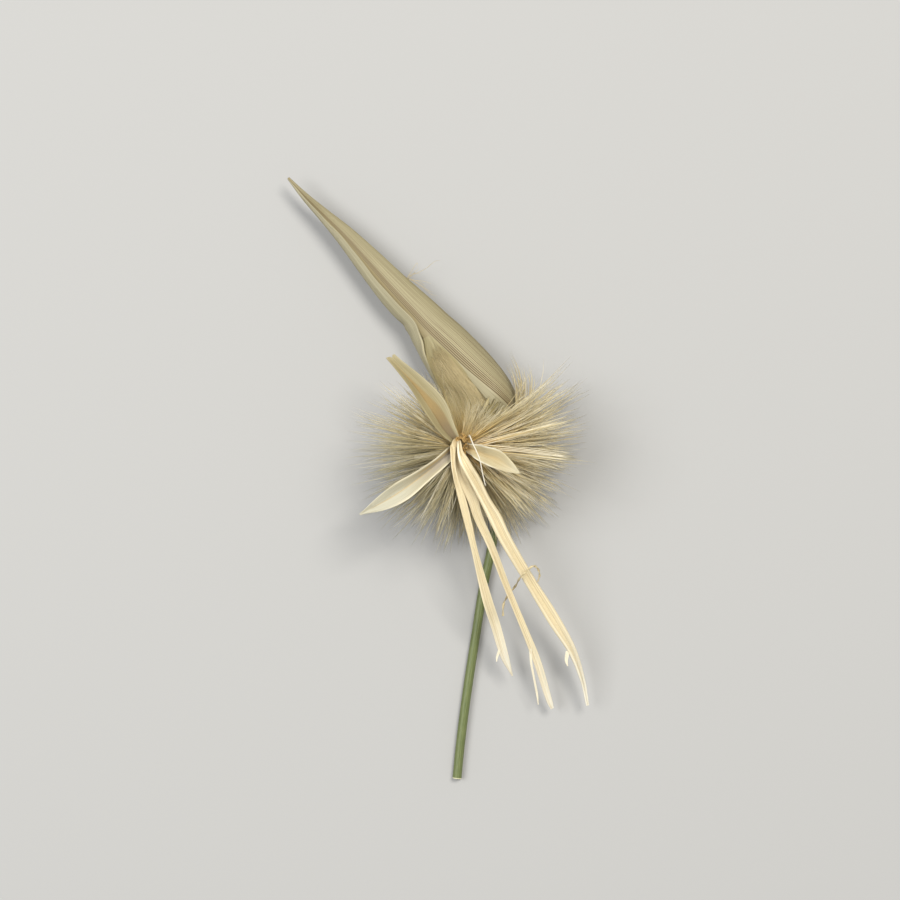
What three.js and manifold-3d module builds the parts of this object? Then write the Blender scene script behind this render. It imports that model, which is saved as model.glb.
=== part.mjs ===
// Albardine (Lygeum spartum): one dry flowering head, picked with a short length of its culm, lying on a table.
// Millimetres, +Z up. The origin is on the table, under the joint of culm and spathe, where the spathe lies flat.
// The culm runs towards -Y, the spathe towards +Y and -X, and the mouth of the hairy floret tube looks up.
import * as THREE from "three";
import { mergeVertices } from "three/addons/utils/BufferGeometryUtils.js";
import Module from "manifold-3d";

const wasm = await Module();
wasm.setup();

// Shared values. Edges shorter than the smallest detail go when crossing solids are fused.
const UP = new THREE.Vector3(0, 0, 1);
const GOLDEN_ANGLE = Math.PI * (3 - Math.sqrt(5));
const CLEARANCE = 0.3;
const SMALLEST_DETAIL = 0.01;

// Spathe: the papery bract, a long hood rolled round its length. Its margins come close to each other on top,
// and part towards the mouth, where the hairs come out.
// Each station gives the middle of its width, its outer width and height, how far its back is off the table,
// the angle of its left and right margins round the section (90 is the top, 180 the left), and the width of
// the flap that turns in from the right margin. Its back is pressed flat where it lies on the table.
const SPATHE_STATIONS = [
  { at: [0.1, -2.2], width: 2.7, height: 2.7, lift: 0.0, left: 125, right: 55, flap: 0.1 },
  { at: [0.1, 0.0], width: 3.0, height: 2.9, lift: 0.0, left: 150, right: 20, flap: 0.1 },
  { at: [-0.2, 2.4], width: 5.1, height: 4.6, lift: 0.0, left: 180, right: 5, flap: 0.1 },
  { at: [-0.85, 4.6], width: 6.9, height: 6.2, lift: 0.0, left: 162, right: 36, flap: 0.6 },
  { at: [-1.95, 6.9], width: 7.4, height: 7.0, lift: 0.0, left: 143, right: 66, flap: 1.1 },
  { at: [-3.6, 9.6], width: 7.1, height: 6.2, lift: 0.0, left: 133, right: 76, flap: 1.0 },
  { at: [-6.2, 12.8], width: 5.9, height: 4.9, lift: 0.3, left: 129, right: 84, flap: 0.7 },
  { at: [-9.1, 16.2], width: 4.9, height: 4.0, lift: 0.6, left: 128, right: 84, flap: 0.5 },
  { at: [-11.8, 19.3], width: 4.0, height: 3.3, lift: 0.9, left: 129, right: 84, flap: 0.3 },
  { at: [-14.8, 22.6], width: 3.2, height: 2.7, lift: 1.2, left: 132, right: 86, flap: 0.2 },
  { at: [-17.5, 25.5], width: 2.4, height: 2.2, lift: 1.5, left: 143, right: 88, flap: 0.1 },
  { at: [-19.6, 27.5], width: 1.7, height: 1.72, lift: 1.83, left: 168, right: 90, flap: 0.1 },
];
const SPATHE_WALL = 0.6;
const SPATHE_RIB = 0.08;
const SPATHE_PRESSED = 0.12;
const SPATHE_FLAP_TURN = 14;
const SPATHE_FLAP_LEAST = 0.08;
const SPATHE_STEPS = { across: 20, flap: 3, along: 29 };
const SPATHE_COLOR = 0xbdb290;

// The solid spike that closes the spathe's tip.
const SPIKE = {
  path: [[-17.9, 25.9, 2.6], [-19.75, 27.75, 2.62], [-21.7, 29.8, 2.7], [-23.8, 32.2, 2.7]],
  radius: [0.8, 0.84, 0.5, 0.16],
  sides: 8,
  steps: 8,
};

// Floret tube: the fused bases of the lemmas, leaning out of the spathe. Its profile gives radii at shares of
// its length from base to mouth, and the mouth is a shallow cup.
const TUBE_BASE = new THREE.Vector3(-0.75, 0.35, 2.6);
const TUBE_MOUTH = new THREE.Vector3(-4.5, 1.8, 9.5);
const TUBE_RADIUS = 1.35;
const TUBE_PROFILE = [[0.55, 0], [1.08, 0.18], [TUBE_RADIUS, 0.45], [TUBE_RADIUS, 0.7], [1.15, 0.95], [1.15, 1]];
const TUBE_CUP_RADIUS = 0.85;
const TUBE_CUP_FLOOR_RADIUS = 0.7;
const TUBE_CUP_DEPTH = 0.5;
const TUBE_SIDES = 14;
const TUBE_COLOR = 0xb9a877;

// Hair tufts on the tube: three-sided needles that spread to a flattened globe. Angles are in degrees, from
// the lowest roots to the highest, and each tuft droops at its bend. The globe is longer on one side.
const TUFT_SEED = 5;
const TUFT_COUNT = 300;
const TUFT_LENGTH = 9.9;
const TUFT_LENGTH_SPREAD = 0.2;
const TUFT_RADIUS = 0.2;
const TUFT_BEND_RADIUS = 0.16;
const TUFT_ROOT_OUT = 0.77;
const TUFT_ROOT_SHARES = [0.14, 0.94];
const TUFT_ROOT_STEP = 0.7548776662;
const TUFT_ELEVATIONS = [-34, 33];
const TUFT_ELEVATION_EASE = 0.8;
const TUFT_ELEVATION_SPREAD = 14;
const TUFT_AZIMUTH_SPREAD = 7;
const TUFT_DROOP = 9;
const TUFT_TABLE_GAP = 0.06;
const LONG_SIDE = 55;
const LONG_SIDE_GAIN = 0.3;

// Ways to clear a tuft that would cross another piece: turns up or down in degrees, then shorter lengths.
const TUFT_TURNS = [0, -8, 8, -16, 16, -24, 24, 32];
const TUFT_TURNS_IN_HOOD = [0, -8, -16, -24, -32];
const TUFT_SCALES = [1, 0.75, 0.5];

// The hood of the spathe as the tufts see it: the azimuths it covers, and the height that a tuft aims for at
// this reach from its root, so that it passes in under the rolled margin.
const HOOD = { from: 40, to: 116, height: 4.3, reach: 5.5 };

// Blades: middle line from base to tip, width at each of its points, depth of the groove along the upper side
// and turn about the middle line in degrees. They are drawn thicker than the papery originals.
const BLADE_THICKNESS = 0.6;
const BLADE_STEPS = { across: 4, along: 15 };
const LEMMA_UPPER_LEFT = {
  path: [
    [-5.1, 2.75, 9.75], [-5.95, 4.0, 10.3], [-7.4, 6.15, 11.0],
    [-9.1, 8.5, 11.4], [-10.8, 10.6, 11.5], [-12.0, 11.8, 11.4],
  ],
  width: [0.9, 1.6, 2.7, 2.2, 1.4, 0.8],
  groove: 0.55,
  roll: 8,
  color: 0xc8b88c,
};
const LEMMA_LOWER_LEFT = {
  path: [
    [-5.75, 0.8, 9.6], [-6.9, -0.2, 10.2], [-8.6, -1.5, 10.8],
    [-10.8, -3.05, 11.0], [-12.85, -4.3, 10.9], [-15.3, -5.6, 10.5],
  ],
  width: [1.0, 1.4, 1.7, 2.2, 1.7, 0.5],
  groove: 0.4,
  roll: -6,
  color: 0xddd3b2,
};
const LEMMA_RIGHT = {
  path: [
    [-3.1, 1.95, 10.55], [-2.55, 1.6, 11.25], [-1.75, 1.05, 12.4],
    [-0.3, 0.25, 13.9], [0.95, -0.4, 15.0], [1.9, -0.95, 15.6],
  ],
  width: [0.9, 1.3, 1.8, 2.2, 1.8, 0.7],
  groove: 0.35,
  roll: 10,
  color: 0xe0d0a0,
};
const PALEA_LEFT = {
  path: [
    [-5.55, 1.3, 10.5], [-5.3, -0.4, 11.05], [-4.2, -3.2, 10.4], [-3.2, -7.4, 9.0],
    [-1.7, -13.3, 6.6], [-0.35, -18.2, 4.8], [0.6, -21.7, 3.6], [1.55, -24.1, 2.6],
  ],
  width: [0.55, 0.7, 1.05, 1.1, 1.15, 1.2, 0.9, 0.5],
  groove: 0.15,
  roll: 0,
  color: 0xf0e4c0,
};
const PALEA_MIDDLE = {
  path: [
    [-4.65, 1.0, 10.45], [-4.0, -0.9, 10.3], [-3.2, -3.2, 9.15], [-2.5, -5.0, 8.7], [-1.1, -9.1, 7.8],
    [0.75, -14.0, 6.2], [2.8, -18.8, 4.6], [4.3, -22.5, 3.4], [5.7, -26.8, 2.2], [6.1, -27.9, 1.8],
  ],
  width: [0.55, 0.7, 0.9, 1.0, 1.0, 0.8, 0.75, 0.8, 0.65, 0.5],
  groove: 0.12,
  roll: 0,
  color: 0xe6d6a8,
};
const PALEA_RIGHT = {
  path: [
    [-3.74, 0.95, 11.05], [-3.15, -0.55, 11.75], [-1.6, -4.1, 10.9], [0.7, -8.6, 9.1], [3.4, -13.0, 7.2],
    [6.0, -17.5, 5.4], [8.2, -21.2, 4.0], [9.4, -24.6, 2.9], [10.1, -27.5, 2.1],
  ],
  width: [0.6, 0.9, 1.35, 1.3, 1.2, 1.2, 0.9, 0.55, 0.5],
  groove: 0.22,
  roll: 0,
  color: 0xf0e4c0,
};
const BLADES = {
  lemma_upper_left: LEMMA_UPPER_LEFT,
  lemma_lower_left: LEMMA_LOWER_LEFT,
  lemma_right: LEMMA_RIGHT,
  palea_left: PALEA_LEFT,
  palea_middle: PALEA_MIDDLE,
  palea_right: PALEA_RIGHT,
};

// The dried anther left in the mouth: a small curled flake.
const REMAINS = {
  path: [[-4.55, 1.8, 9.85], [-4.7, 2.05, 10.5], [-4.6, 2.3, 11.1], [-4.35, 2.2, 11.5]],
  width: [0.5, 0.7, 0.6, 0.5],
  groove: 0.1,
  roll: 0,
  color: 0xa4814d,
};

// Round pieces: middle line and radius.
const CULM = {
  path: [
    [0.1, -0.4, 1.35], [0.1, -2.5, 1.2], [-0.05, -5.0, 1.0], [-0.75, -9.7, 0.75], [-1.65, -14.0, 0.6],
    [-2.4, -18.7, 0.52], [-3.55, -26.2, 0.5], [-4.25, -31.6, 0.5], [-4.7, -36.0, 0.5],
  ],
  radius: 0.5,
  sides: 8,
  steps: 22,
  color: 0x6f7a3c,
};
const FILAMENT = {
  path: [
    [0.45, -17.2, 4.7], [0.5, -15.9, 4.9], [1.0, -14.9, 4.9], [1.9, -13.7, 5.3], [2.2, -12.8, 8.3],
    [2.9, -11.9, 9.1], [3.8, -11.2, 8.95], [4.5, -11.5, 8.3], [4.85, -12.5, 7.6], [4.8, -13.3, 7.1],
  ],
  radius: 0.15,
  sides: 5,
  steps: 32,
  color: 0xc9b481,
};
const STYLE = {
  path: [
    [-3.95, 2.5, 10.5], [-3.65, 2.95, 11.7], [-3.2, 2.55, 12.9], [-2.75, 1.5, 13.6],
    [-2.35, 0.2, 13.7], [-2.0, -1.3, 13.2], [-1.6, -2.7, 12.5],
  ],
  radius: 0.13,
  sides: 5,
  steps: 20,
  color: 0xf2ecd8,
};

function curveThrough(path) {
  return new THREE.CatmullRomCurve3(path.map((p) => new THREE.Vector3(...p)));
}

// A value given at evenly numbered stations, read smoothly at t from 0 to 1.
function track(values) {
  const curve = new THREE.SplineCurve(values.map((v, i) => new THREE.Vector2(i, v)));
  return (t) => curve.getPoint(t).y;
}

function solidFrom(geometry) {
  const bare = geometry.clone();
  bare.deleteAttribute("normal");
  bare.deleteAttribute("uv");
  const merged = mergeVertices(bare);
  return new wasm.Manifold(new wasm.Mesh({
    numProp: 3,
    vertProperties: new Float32Array(merged.attributes.position.array),
    triVerts: new Uint32Array(merged.index.array),
  }));
}

function geometryFrom(solid) {
  const mesh = solid.getMesh();
  const geometry = new THREE.BufferGeometry();
  const corners = new Float32Array(mesh.vertProperties);
  geometry.setAttribute("position", new THREE.BufferAttribute(corners, mesh.numProp));
  geometry.setIndex(new THREE.BufferAttribute(new Uint32Array(mesh.triVerts), 1));
  geometry.computeVertexNormals();
  return geometry;
}

function indexed(points, triangles) {
  const geometry = new THREE.BufferGeometry().setFromPoints(points);
  geometry.setIndex(triangles);
  return geometry;
}

// A closed sheet from two grids of points, upper and lower, rows along and columns across.
function sheet(upper, lower) {
  const rows = upper.length;
  const columns = upper[0].length;
  const above = (i, j) => i * columns + j;
  const below = (i, j) => rows * columns + i * columns + j;
  const triangles = [];
  const quad = (a, b, c, d) => triangles.push(a, b, c, a, c, d);
  for (let i = 0; i < rows - 1; i++) {
    for (let j = 0; j < columns - 1; j++) {
      quad(above(i, j), above(i, j + 1), above(i + 1, j + 1), above(i + 1, j));
      quad(below(i, j), below(i + 1, j), below(i + 1, j + 1), below(i, j + 1));
    }
    const edge = columns - 1;
    quad(below(i, 0), above(i, 0), above(i + 1, 0), below(i + 1, 0));
    quad(above(i, edge), below(i, edge), below(i + 1, edge), above(i + 1, edge));
  }
  for (let j = 0; j < columns - 1; j++) {
    const end = rows - 1;
    quad(above(0, j), below(0, j), below(0, j + 1), above(0, j + 1));
    quad(above(end, j + 1), below(end, j + 1), below(end, j), above(end, j));
  }
  return indexed([...upper.flat(), ...lower.flat()], triangles);
}

// The middle line of the spathe's section as points (across, up): an arc of an ellipse, then the flap that
// turns down from the right margin into the hollow.
function spatheSection(halfWidth, halfHeight, leftMargin, rightMargin, flap) {
  const line = [];
  const from = THREE.MathUtils.degToRad(leftMargin);
  const to = THREE.MathUtils.degToRad(360 + rightMargin);
  for (let j = 0; j <= SPATHE_STEPS.across; j++) {
    const angle = THREE.MathUtils.lerp(from, to, j / SPATHE_STEPS.across);
    line.push(new THREE.Vector2(halfWidth * Math.cos(angle), halfHeight * Math.sin(angle)));
  }
  const marginAngle = line.at(-1).clone().sub(line.at(-2)).angle();
  for (let k = 1; k <= SPATHE_STEPS.flap; k++) {
    const angle = marginAngle + THREE.MathUtils.degToRad(SPATHE_FLAP_TURN * k);
    const step = new THREE.Vector2(Math.cos(angle), Math.sin(angle)).multiplyScalar(flap / SPATHE_STEPS.flap);
    line.push(line.at(-1).clone().add(step));
  }
  return line;
}

// The wall's outer and inner points at each point of a section line, with a rib on every other outer point.
function wallPoints(line, wall, rib) {
  const last = line.length - 1;
  return line.map((here, j) => {
    const along = line[Math.min(j + 1, last)].clone().sub(line[Math.max(j - 1, 0)]).normalize();
    const normal = new THREE.Vector2(along.y, -along.x);
    const ribbed = j > 0 && j < last && j % 2 === 1;
    return {
      outer: here.clone().addScaledVector(normal, wall / 2 + (ribbed ? rib : 0)),
      inner: here.clone().addScaledVector(normal, -wall / 2),
    };
  });
}

function spatheSheet(wall, rib) {
  const middle = new THREE.SplineCurve(SPATHE_STATIONS.map((s) => new THREE.Vector2(...s.at)));
  const at = {};
  for (const key of ["width", "height", "lift", "left", "right", "flap"]) {
    at[key] = track(SPATHE_STATIONS.map((s) => s[key]));
  }
  const upper = [];
  const lower = [];
  for (let i = 0; i <= SPATHE_STEPS.along; i++) {
    const t = i / SPATHE_STEPS.along;
    const forward = middle.getTangent(t);
    const right = new THREE.Vector3(forward.y, -forward.x, 0);
    const halfWidth = (at.width(t) - SPATHE_WALL) / 2;
    const halfHeight = (at.height(t) - SPATHE_WALL) / 2;
    const flap = Math.max(at.flap(t), SPATHE_FLAP_LEAST);
    const line = spatheSection(halfWidth, halfHeight, at.left(t), at.right(t), flap);
    const level = at.lift(t) + at.height(t) / 2 - SPATHE_PRESSED;
    const centre = new THREE.Vector3(middle.getPoint(t).x, middle.getPoint(t).y, level);
    const place = (p) => centre.clone().addScaledVector(right, p.x).addScaledVector(UP, p.y);
    const walls = wallPoints(line, wall, rib);
    upper.push(walls.map((w) => place(w.inner)));
    lower.push(walls.map((w) => place(w.outer)));
  }
  return solidFrom(sheet(upper, lower));
}

// A ring of points round a centre, at right angles to forward.
function ringRound(centre, forward, radius, sides) {
  const side = forward.clone().cross(UP).normalize();
  const over = side.clone().cross(forward).normalize();
  const ring = [];
  for (let k = 0; k < sides; k++) {
    const angle = (2 * Math.PI * k) / sides;
    const out = side.clone().multiplyScalar(Math.cos(angle)).addScaledVector(over, Math.sin(angle));
    ring.push(centre.clone().addScaledVector(out, radius));
  }
  return ring;
}

// A closed tapering rod with flat ends, round a curve.
function taperedRod({ path, radius, sides, steps }, extra = 0) {
  const curve = curveThrough(path);
  const radiusAt = track(radius);
  const points = [];
  const triangles = [];
  for (let i = 0; i <= steps; i++) {
    const t = i / steps;
    points.push(...ringRound(curve.getPoint(t), curve.getTangent(t), radiusAt(t) + extra, sides));
  }
  for (let i = 0; i < steps; i++) {
    for (let k = 0; k < sides; k++) {
      const a = i * sides + k;
      const b = i * sides + ((k + 1) % sides);
      triangles.push(a, b + sides, b, a, a + sides, b + sides);
    }
  }
  for (let k = 1; k < sides - 1; k++) {
    const last = steps * sides;
    triangles.push(0, k, k + 1, last, last + k + 1, last + k);
  }
  return solidFrom(indexed(points, triangles));
}

function makeSpathe() {
  return spatheSheet(SPATHE_WALL, SPATHE_RIB)
    .add(taperedRod(SPIKE))
    .trimByPlane([0, 0, 1], 0)
    .asOriginal()
    .simplify(SMALLEST_DETAIL);
}

// A long thin leaf-like blade, grooved along its upper side. The groove runs out towards the tip.
function makeBlade({ path, width, groove, roll }, extra = 0) {
  const curve = curveThrough(path);
  const widthAt = track(width);
  const half = BLADE_THICKNESS / 2 + extra;
  const upper = [];
  const lower = [];
  for (let i = 0; i <= BLADE_STEPS.along; i++) {
    const t = i / BLADE_STEPS.along;
    const forward = curve.getTangent(t);
    const rollBy = THREE.MathUtils.degToRad(roll);
    const side = forward.clone().cross(UP).normalize().applyAxisAngle(forward, rollBy);
    const normal = side.clone().cross(forward);
    const deep = groove * Math.sin(Math.PI * THREE.MathUtils.lerp(0.1, 1, t));
    const middle = [];
    for (let j = 0; j <= BLADE_STEPS.across; j++) {
      const across = (2 * j) / BLADE_STEPS.across - 1;
      const here = curve.getPoint(t).addScaledVector(side, across * (widthAt(t) / 2 + extra));
      middle.push(here.addScaledVector(normal, deep * (across * across - 0.5)));
    }
    upper.push(middle.map((p) => p.clone().addScaledVector(normal, half)));
    lower.push(middle.map((p) => p.clone().addScaledVector(normal, -half)));
  }
  return solidFrom(sheet(upper, lower));
}

function makeRound({ path, radius, sides, steps }, extra = 0) {
  const outline = [];
  for (let k = 0; k < sides; k++) {
    const angle = (2 * Math.PI * k) / sides;
    outline.push(new THREE.Vector2(Math.cos(angle), Math.sin(angle)).multiplyScalar(radius + extra));
  }
  const options = { steps, extrudePath: curveThrough(path), bevelEnabled: false };
  return solidFrom(new THREE.ExtrudeGeometry(new THREE.Shape(outline), options));
}

// The tube is turned on its own axis, cupped at the mouth, and stood along the line from base to mouth.
function makeTube() {
  const length = TUBE_BASE.distanceTo(TUBE_MOUTH);
  const profile = [
    [0, 0],
    ...TUBE_PROFILE.map(([radius, share]) => [radius, share * length]),
    [TUBE_CUP_RADIUS, length],
    [TUBE_CUP_FLOOR_RADIUS, length - TUBE_CUP_DEPTH],
    [0, length - TUBE_CUP_DEPTH],
  ];
  const lathe = new THREE.LatheGeometry(profile.map((p) => new THREE.Vector2(...p)), TUBE_SIDES);
  const axis = TUBE_MOUTH.clone().sub(TUBE_BASE).normalize();
  lathe.applyQuaternion(new THREE.Quaternion().setFromUnitVectors(new THREE.Vector3(0, 1, 0), axis));
  lathe.translate(...TUBE_BASE.toArray());
  return solidFrom(lathe);
}

// A repeatable source of numbers from 0 to 1.
function randomFrom(seed) {
  let state = seed;
  return () => {
    state = (state + 0x6d2b79f5) | 0;
    let mixed = Math.imul(state ^ (state >>> 15), 1 | state);
    mixed = (mixed + Math.imul(mixed ^ (mixed >>> 7), 61 | mixed)) ^ mixed;
    return ((mixed ^ (mixed >>> 14)) >>> 0) / 4294967296;
  };
}

function directionOf(azimuth, elevation) {
  const level = Math.cos(THREE.MathUtils.degToRad(elevation));
  const around = THREE.MathUtils.degToRad(azimuth);
  const rise = Math.sin(THREE.MathUtils.degToRad(elevation));
  return new THREE.Vector3(level * Math.cos(around), level * Math.sin(around), rise);
}

// One tuft as a three-sided needle through its root, bend and tip.
function tuftSolid(root, bend, tip) {
  const forward = tip.clone().sub(root).normalize();
  const points = [
    ...ringRound(root, forward, TUFT_RADIUS, 3),
    ...ringRound(bend, forward, TUFT_BEND_RADIUS, 3),
    tip,
  ];
  const triangles = [0, 1, 2];
  for (let k = 0; k < 3; k++) {
    const next = (k + 1) % 3;
    triangles.push(k, next + 3, next, k, k + 3, next + 3, k + 3, 6, next + 3);
  }
  return solidFrom(indexed(points, triangles));
}

function tuftAt(share, azimuth, elevation, length) {
  const root = TUBE_BASE.clone().lerp(TUBE_MOUTH, share);
  root.addScaledVector(directionOf(azimuth, 0), TUFT_ROOT_OUT);
  const bend = root.clone().addScaledVector(directionOf(azimuth, elevation), length / 2);
  bend.z = Math.max(bend.z, TUFT_RADIUS + TUFT_TABLE_GAP);
  const tip = bend.clone().addScaledVector(directionOf(azimuth, elevation - TUFT_DROOP), length / 2);
  tip.z = Math.max(tip.z, TUFT_TABLE_GAP);
  return tuftSolid(root, bend, tip);
}

function withBox(solid) {
  return { solid, box: solid.boundingBox() };
}

function boxesMeet(a, b) {
  return [0, 1, 2].every((k) => a.min[k] <= b.max[k] && b.min[k] <= a.max[k]);
}

function isClear(solid, keepOut) {
  const box = solid.boundingBox();
  return keepOut.every((other) => !boxesMeet(box, other.box) || solid.intersect(other.solid).isEmpty());
}

// The first of a tuft's turns and lengths that clears the other pieces, or null.
function clearTuft(share, azimuth, elevation, length, turns, keepOut) {
  for (const scale of TUFT_SCALES) {
    for (const turn of turns) {
      const tuft = tuftAt(share, azimuth, elevation + turn, length * scale);
      if (isClear(tuft, keepOut)) return tuft;
    }
  }
  return null;
}

// Tufts go round the tube by the golden angle, and those towards the spathe point down into its hood.
function makeHairs(keepOut) {
  const random = randomFrom(TUFT_SEED);
  const spread = (width) => (random() - 0.5) * width;
  const tufts = [];
  for (let i = 0; i < TUFT_COUNT; i++) {
    const share = THREE.MathUtils.lerp(...TUFT_ROOT_SHARES, (i * TUFT_ROOT_STEP) % 1);
    const turned = THREE.MathUtils.radToDeg(i * GOLDEN_ANGLE) + spread(TUFT_AZIMUTH_SPREAD);
    const azimuth = THREE.MathUtils.euclideanModulo(turned, 360);
    const inHood = azimuth > HOOD.from && azimuth < HOOD.to;
    const rootHeight = THREE.MathUtils.lerp(TUBE_BASE.z, TUBE_MOUTH.z, share);
    const intoHood = THREE.MathUtils.radToDeg(Math.atan2(HOOD.height - rootHeight, HOOD.reach));
    const outwards = THREE.MathUtils.lerp(...TUFT_ELEVATIONS, share ** TUFT_ELEVATION_EASE);
    const jitter = spread(TUFT_ELEVATION_SPREAD);
    const elevation = inHood ? intoHood + jitter / 2 : outwards + jitter;
    const longSide = Math.max(0, Math.cos(THREE.MathUtils.degToRad(azimuth - LONG_SIDE)));
    const length = TUFT_LENGTH * (1 + spread(TUFT_LENGTH_SPREAD)) * (1 + LONG_SIDE_GAIN * longSide);
    const turns = inHood ? TUFT_TURNS_IN_HOOD : TUFT_TURNS;
    const tuft = clearTuft(share, azimuth, elevation, length, turns, keepOut);
    if (tuft) tufts.push(tuft);
  }
  const whole = wasm.Manifold.union([makeTube(), ...tufts]).asOriginal().simplify(SMALLEST_DETAIL);
  return whole.decompose().sort((a, b) => b.volume() - a.volume())[0];
}

function named(name, solid, color, roughness) {
  const material = new THREE.MeshStandardMaterial({ color, roughness, metalness: 0 });
  const mesh = new THREE.Mesh(geometryFrom(solid), material);
  mesh.name = name;
  return mesh;
}

// What the tufts keep clear of: the other pieces, each grown by the clearance.
const keepOut = [
  spatheSheet(SPATHE_WALL + 2 * CLEARANCE, 0),
  taperedRod(SPIKE, CLEARANCE),
  makeRound(CULM, CLEARANCE),
  makeRound(FILAMENT, CLEARANCE),
  makeRound(STYLE, CLEARANCE),
  ...Object.values(BLADES).map((blade) => makeBlade(blade, CLEARANCE)),
].map(withBox);

const head = new THREE.Group();
head.add(named("culm", makeRound(CULM), CULM.color, 0.6));
head.add(named("spathe", makeSpathe(), SPATHE_COLOR, 0.75));
head.add(named("floret_tube_hairs", makeHairs(keepOut), TUBE_COLOR, 0.85));
for (const [name, blade] of Object.entries(BLADES)) {
  head.add(named(name, makeBlade(blade), blade.color, 0.6));
}
head.add(named("stamen_filament", makeRound(FILAMENT), FILAMENT.color, 0.6));
head.add(named("style_thread", makeRound(STYLE), STYLE.color, 0.5));
head.add(named("anther_remains", makeBlade(REMAINS), REMAINS.color, 0.8));

export default head;
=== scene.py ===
import math

import bpy
import numpy as np
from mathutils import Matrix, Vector
from mathutils.bvhtree import BVHTree


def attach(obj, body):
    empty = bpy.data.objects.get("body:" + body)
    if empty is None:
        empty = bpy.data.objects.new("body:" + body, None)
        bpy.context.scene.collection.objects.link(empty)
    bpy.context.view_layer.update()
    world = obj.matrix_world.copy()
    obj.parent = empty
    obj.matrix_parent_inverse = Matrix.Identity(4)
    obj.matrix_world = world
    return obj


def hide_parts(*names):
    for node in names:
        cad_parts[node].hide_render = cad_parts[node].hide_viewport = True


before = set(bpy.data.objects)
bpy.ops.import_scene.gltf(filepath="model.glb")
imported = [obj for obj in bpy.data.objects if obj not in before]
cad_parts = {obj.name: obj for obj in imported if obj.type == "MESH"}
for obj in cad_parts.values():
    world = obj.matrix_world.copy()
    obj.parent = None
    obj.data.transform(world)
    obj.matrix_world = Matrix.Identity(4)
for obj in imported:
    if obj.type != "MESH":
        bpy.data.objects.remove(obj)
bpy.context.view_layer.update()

MM = 0.001
BODY = "root"
UP = np.array([0.0, 0.0, 1.0])
GOLDEN_ANGLE = 180 * (3 - math.sqrt(5))
RANDOM_SEED = 7

# Camera: it looks straight down. A pixel is 0.11 mm wide on the view plane, just above the tube's mouth.
CAMERA_AT = (-5.5, 1.43, 270.0)
CAMERA_SENSOR = 36.0
VIEW_WIDTH = 99.0
VIEW_PLANE = 10.0

# Floor and lights: the lights' places, sizes, powers and colours.
FLOOR_SIZE = 3000.0
FLOOR_COLOUR = (0.36, 0.355, 0.34, 1)
LIGHTS_AIM = (-2.0, 0.0, 6.0)
LIGHTS = {
    "key": dict(at=(210, 250, 590), size=280, power=4.3, colour=(1.0, 0.975, 0.93)),
    "fill": dict(at=(-330, 60, 460), size=340, power=2.6, colour=(0.97, 0.98, 1.0)),
}
SKY_COLOUR = (0.95, 0.97, 1.0, 1)
SKY_STRENGTH = 0.5

# Spathe: stations along its length, from the sheath round the culm to the tip. Each gives the middle of its
# width (x, y), its width and height, how far its back is off the table, the angles of its left and right
# margins round the section (90 is the top, 180 the left), and the width of the flap, the thin margin that
# rolls in on the right. Above the mouth the margins nearly meet on top, the right one under the left.
SPATHE_STATIONS = [
    (0.06, -3.6, 1.16, 1.16, 0.62, 100, 80, 0.05),
    (0.1, -2.2, 2.3, 2.3, 0.1, 118, 60, 0.1),
    (0.1, 0.0, 3.0, 2.9, 0.0, 150, 20, 0.1),
    (-0.2, 2.4, 5.1, 4.6, 0.0, 178, 5, 0.1),
    (-0.85, 4.6, 6.9, 6.2, 0.0, 178, 34, 1.8),
    (-1.86, 6.95, 7.6, 7.0, 0.0, 174, 62, 1.35),
    (-3.51, 9.66, 7.13, 6.2, 0.0, 169, 80, 0.8),
    (-5.99, 12.97, 6.1, 4.95, 0.3, 150, 92, 0.85),
    (-7.33, 14.69, 5.3, 4.4, 0.45, 127, 99, 1.05),
    (-8.76, 16.49, 4.5, 3.95, 0.6, 117, 105, 0.9),
    (-11.69, 19.4, 3.95, 3.3, 0.9, 114, 101, 0.6),
    (-14.66, 22.7, 3.12, 2.7, 1.2, 113, 101, 0.5),
    (-17.33, 25.64, 2.22, 2.2, 1.5, 111, 101, 0.4),
    (-19.72, 27.98, 1.44, 1.5, 1.85, 110, 100, 0.2),
    (-21.9, 30.1, 0.85, 0.85, 2.25, 110, 98, 0.08),
    (-23.8, 32.2, 0.3, 0.3, 2.55, 120, 95, 0.02),
]
SPATHE_WALL = 0.16
SPATHE_PRESSED = 0.12
SPATHE_ROWS = 160
SPATHE_COLUMNS = 270
LEFT_MARGIN_RISE = 0.07
FLAP_COLUMNS = 16
FLAP_LEAST = 0.02
FLAP_TURN = 42
FLAP_CURL = 0.3
VEIN_COUNT = 76
VEIN_HEIGHT = 0.03

# The fold of the spathe's margins, the nick in its left side and the band of veins on its right. Places are
# shares of its length from the culm, or of its width from the left margin.
FOLD_PLACE = 0.505
FOLD_HEIGHT = 0.16
NICK_PLACE = 0.612
NICK_DEPTH = 0.22
LEFT_SIDE = 0.17
RIGHT_BAND = (0.953, 0.962)

# Floret tube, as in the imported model: the lemmas' fused bases. Its profile is radii at shares of its length.
TUBE_BASE = np.array([-0.75, 0.35, 2.6])
TUBE_MOUTH = np.array([-4.5, 1.8, 9.5])
TUBE_PROFILE = [
    (0.55, 0), (1.08, 0.18), (1.3, 0.45), (1.28, 0.7), (1.1, 0.95), (1.05, 1.0), (0.9, 1.0), (0.8, 0.93),
]
TUBE_SIDES = 40

# Brown crumbs in the tube's mouth: the places that they gather round.
CRUMBS_AT = [(-4.0, 2.8, 10.0), (-3.9, 1.5, 10.5), (-4.55, 2.75, 9.7), (-3.75, 2.3, 10.0)]
CRUMB_COUNT = 64
CRUMB_SCATTER = np.array([0.2, 0.22, 0.15])
CRUMB_SIZES = (0.12, 0.36)

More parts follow.
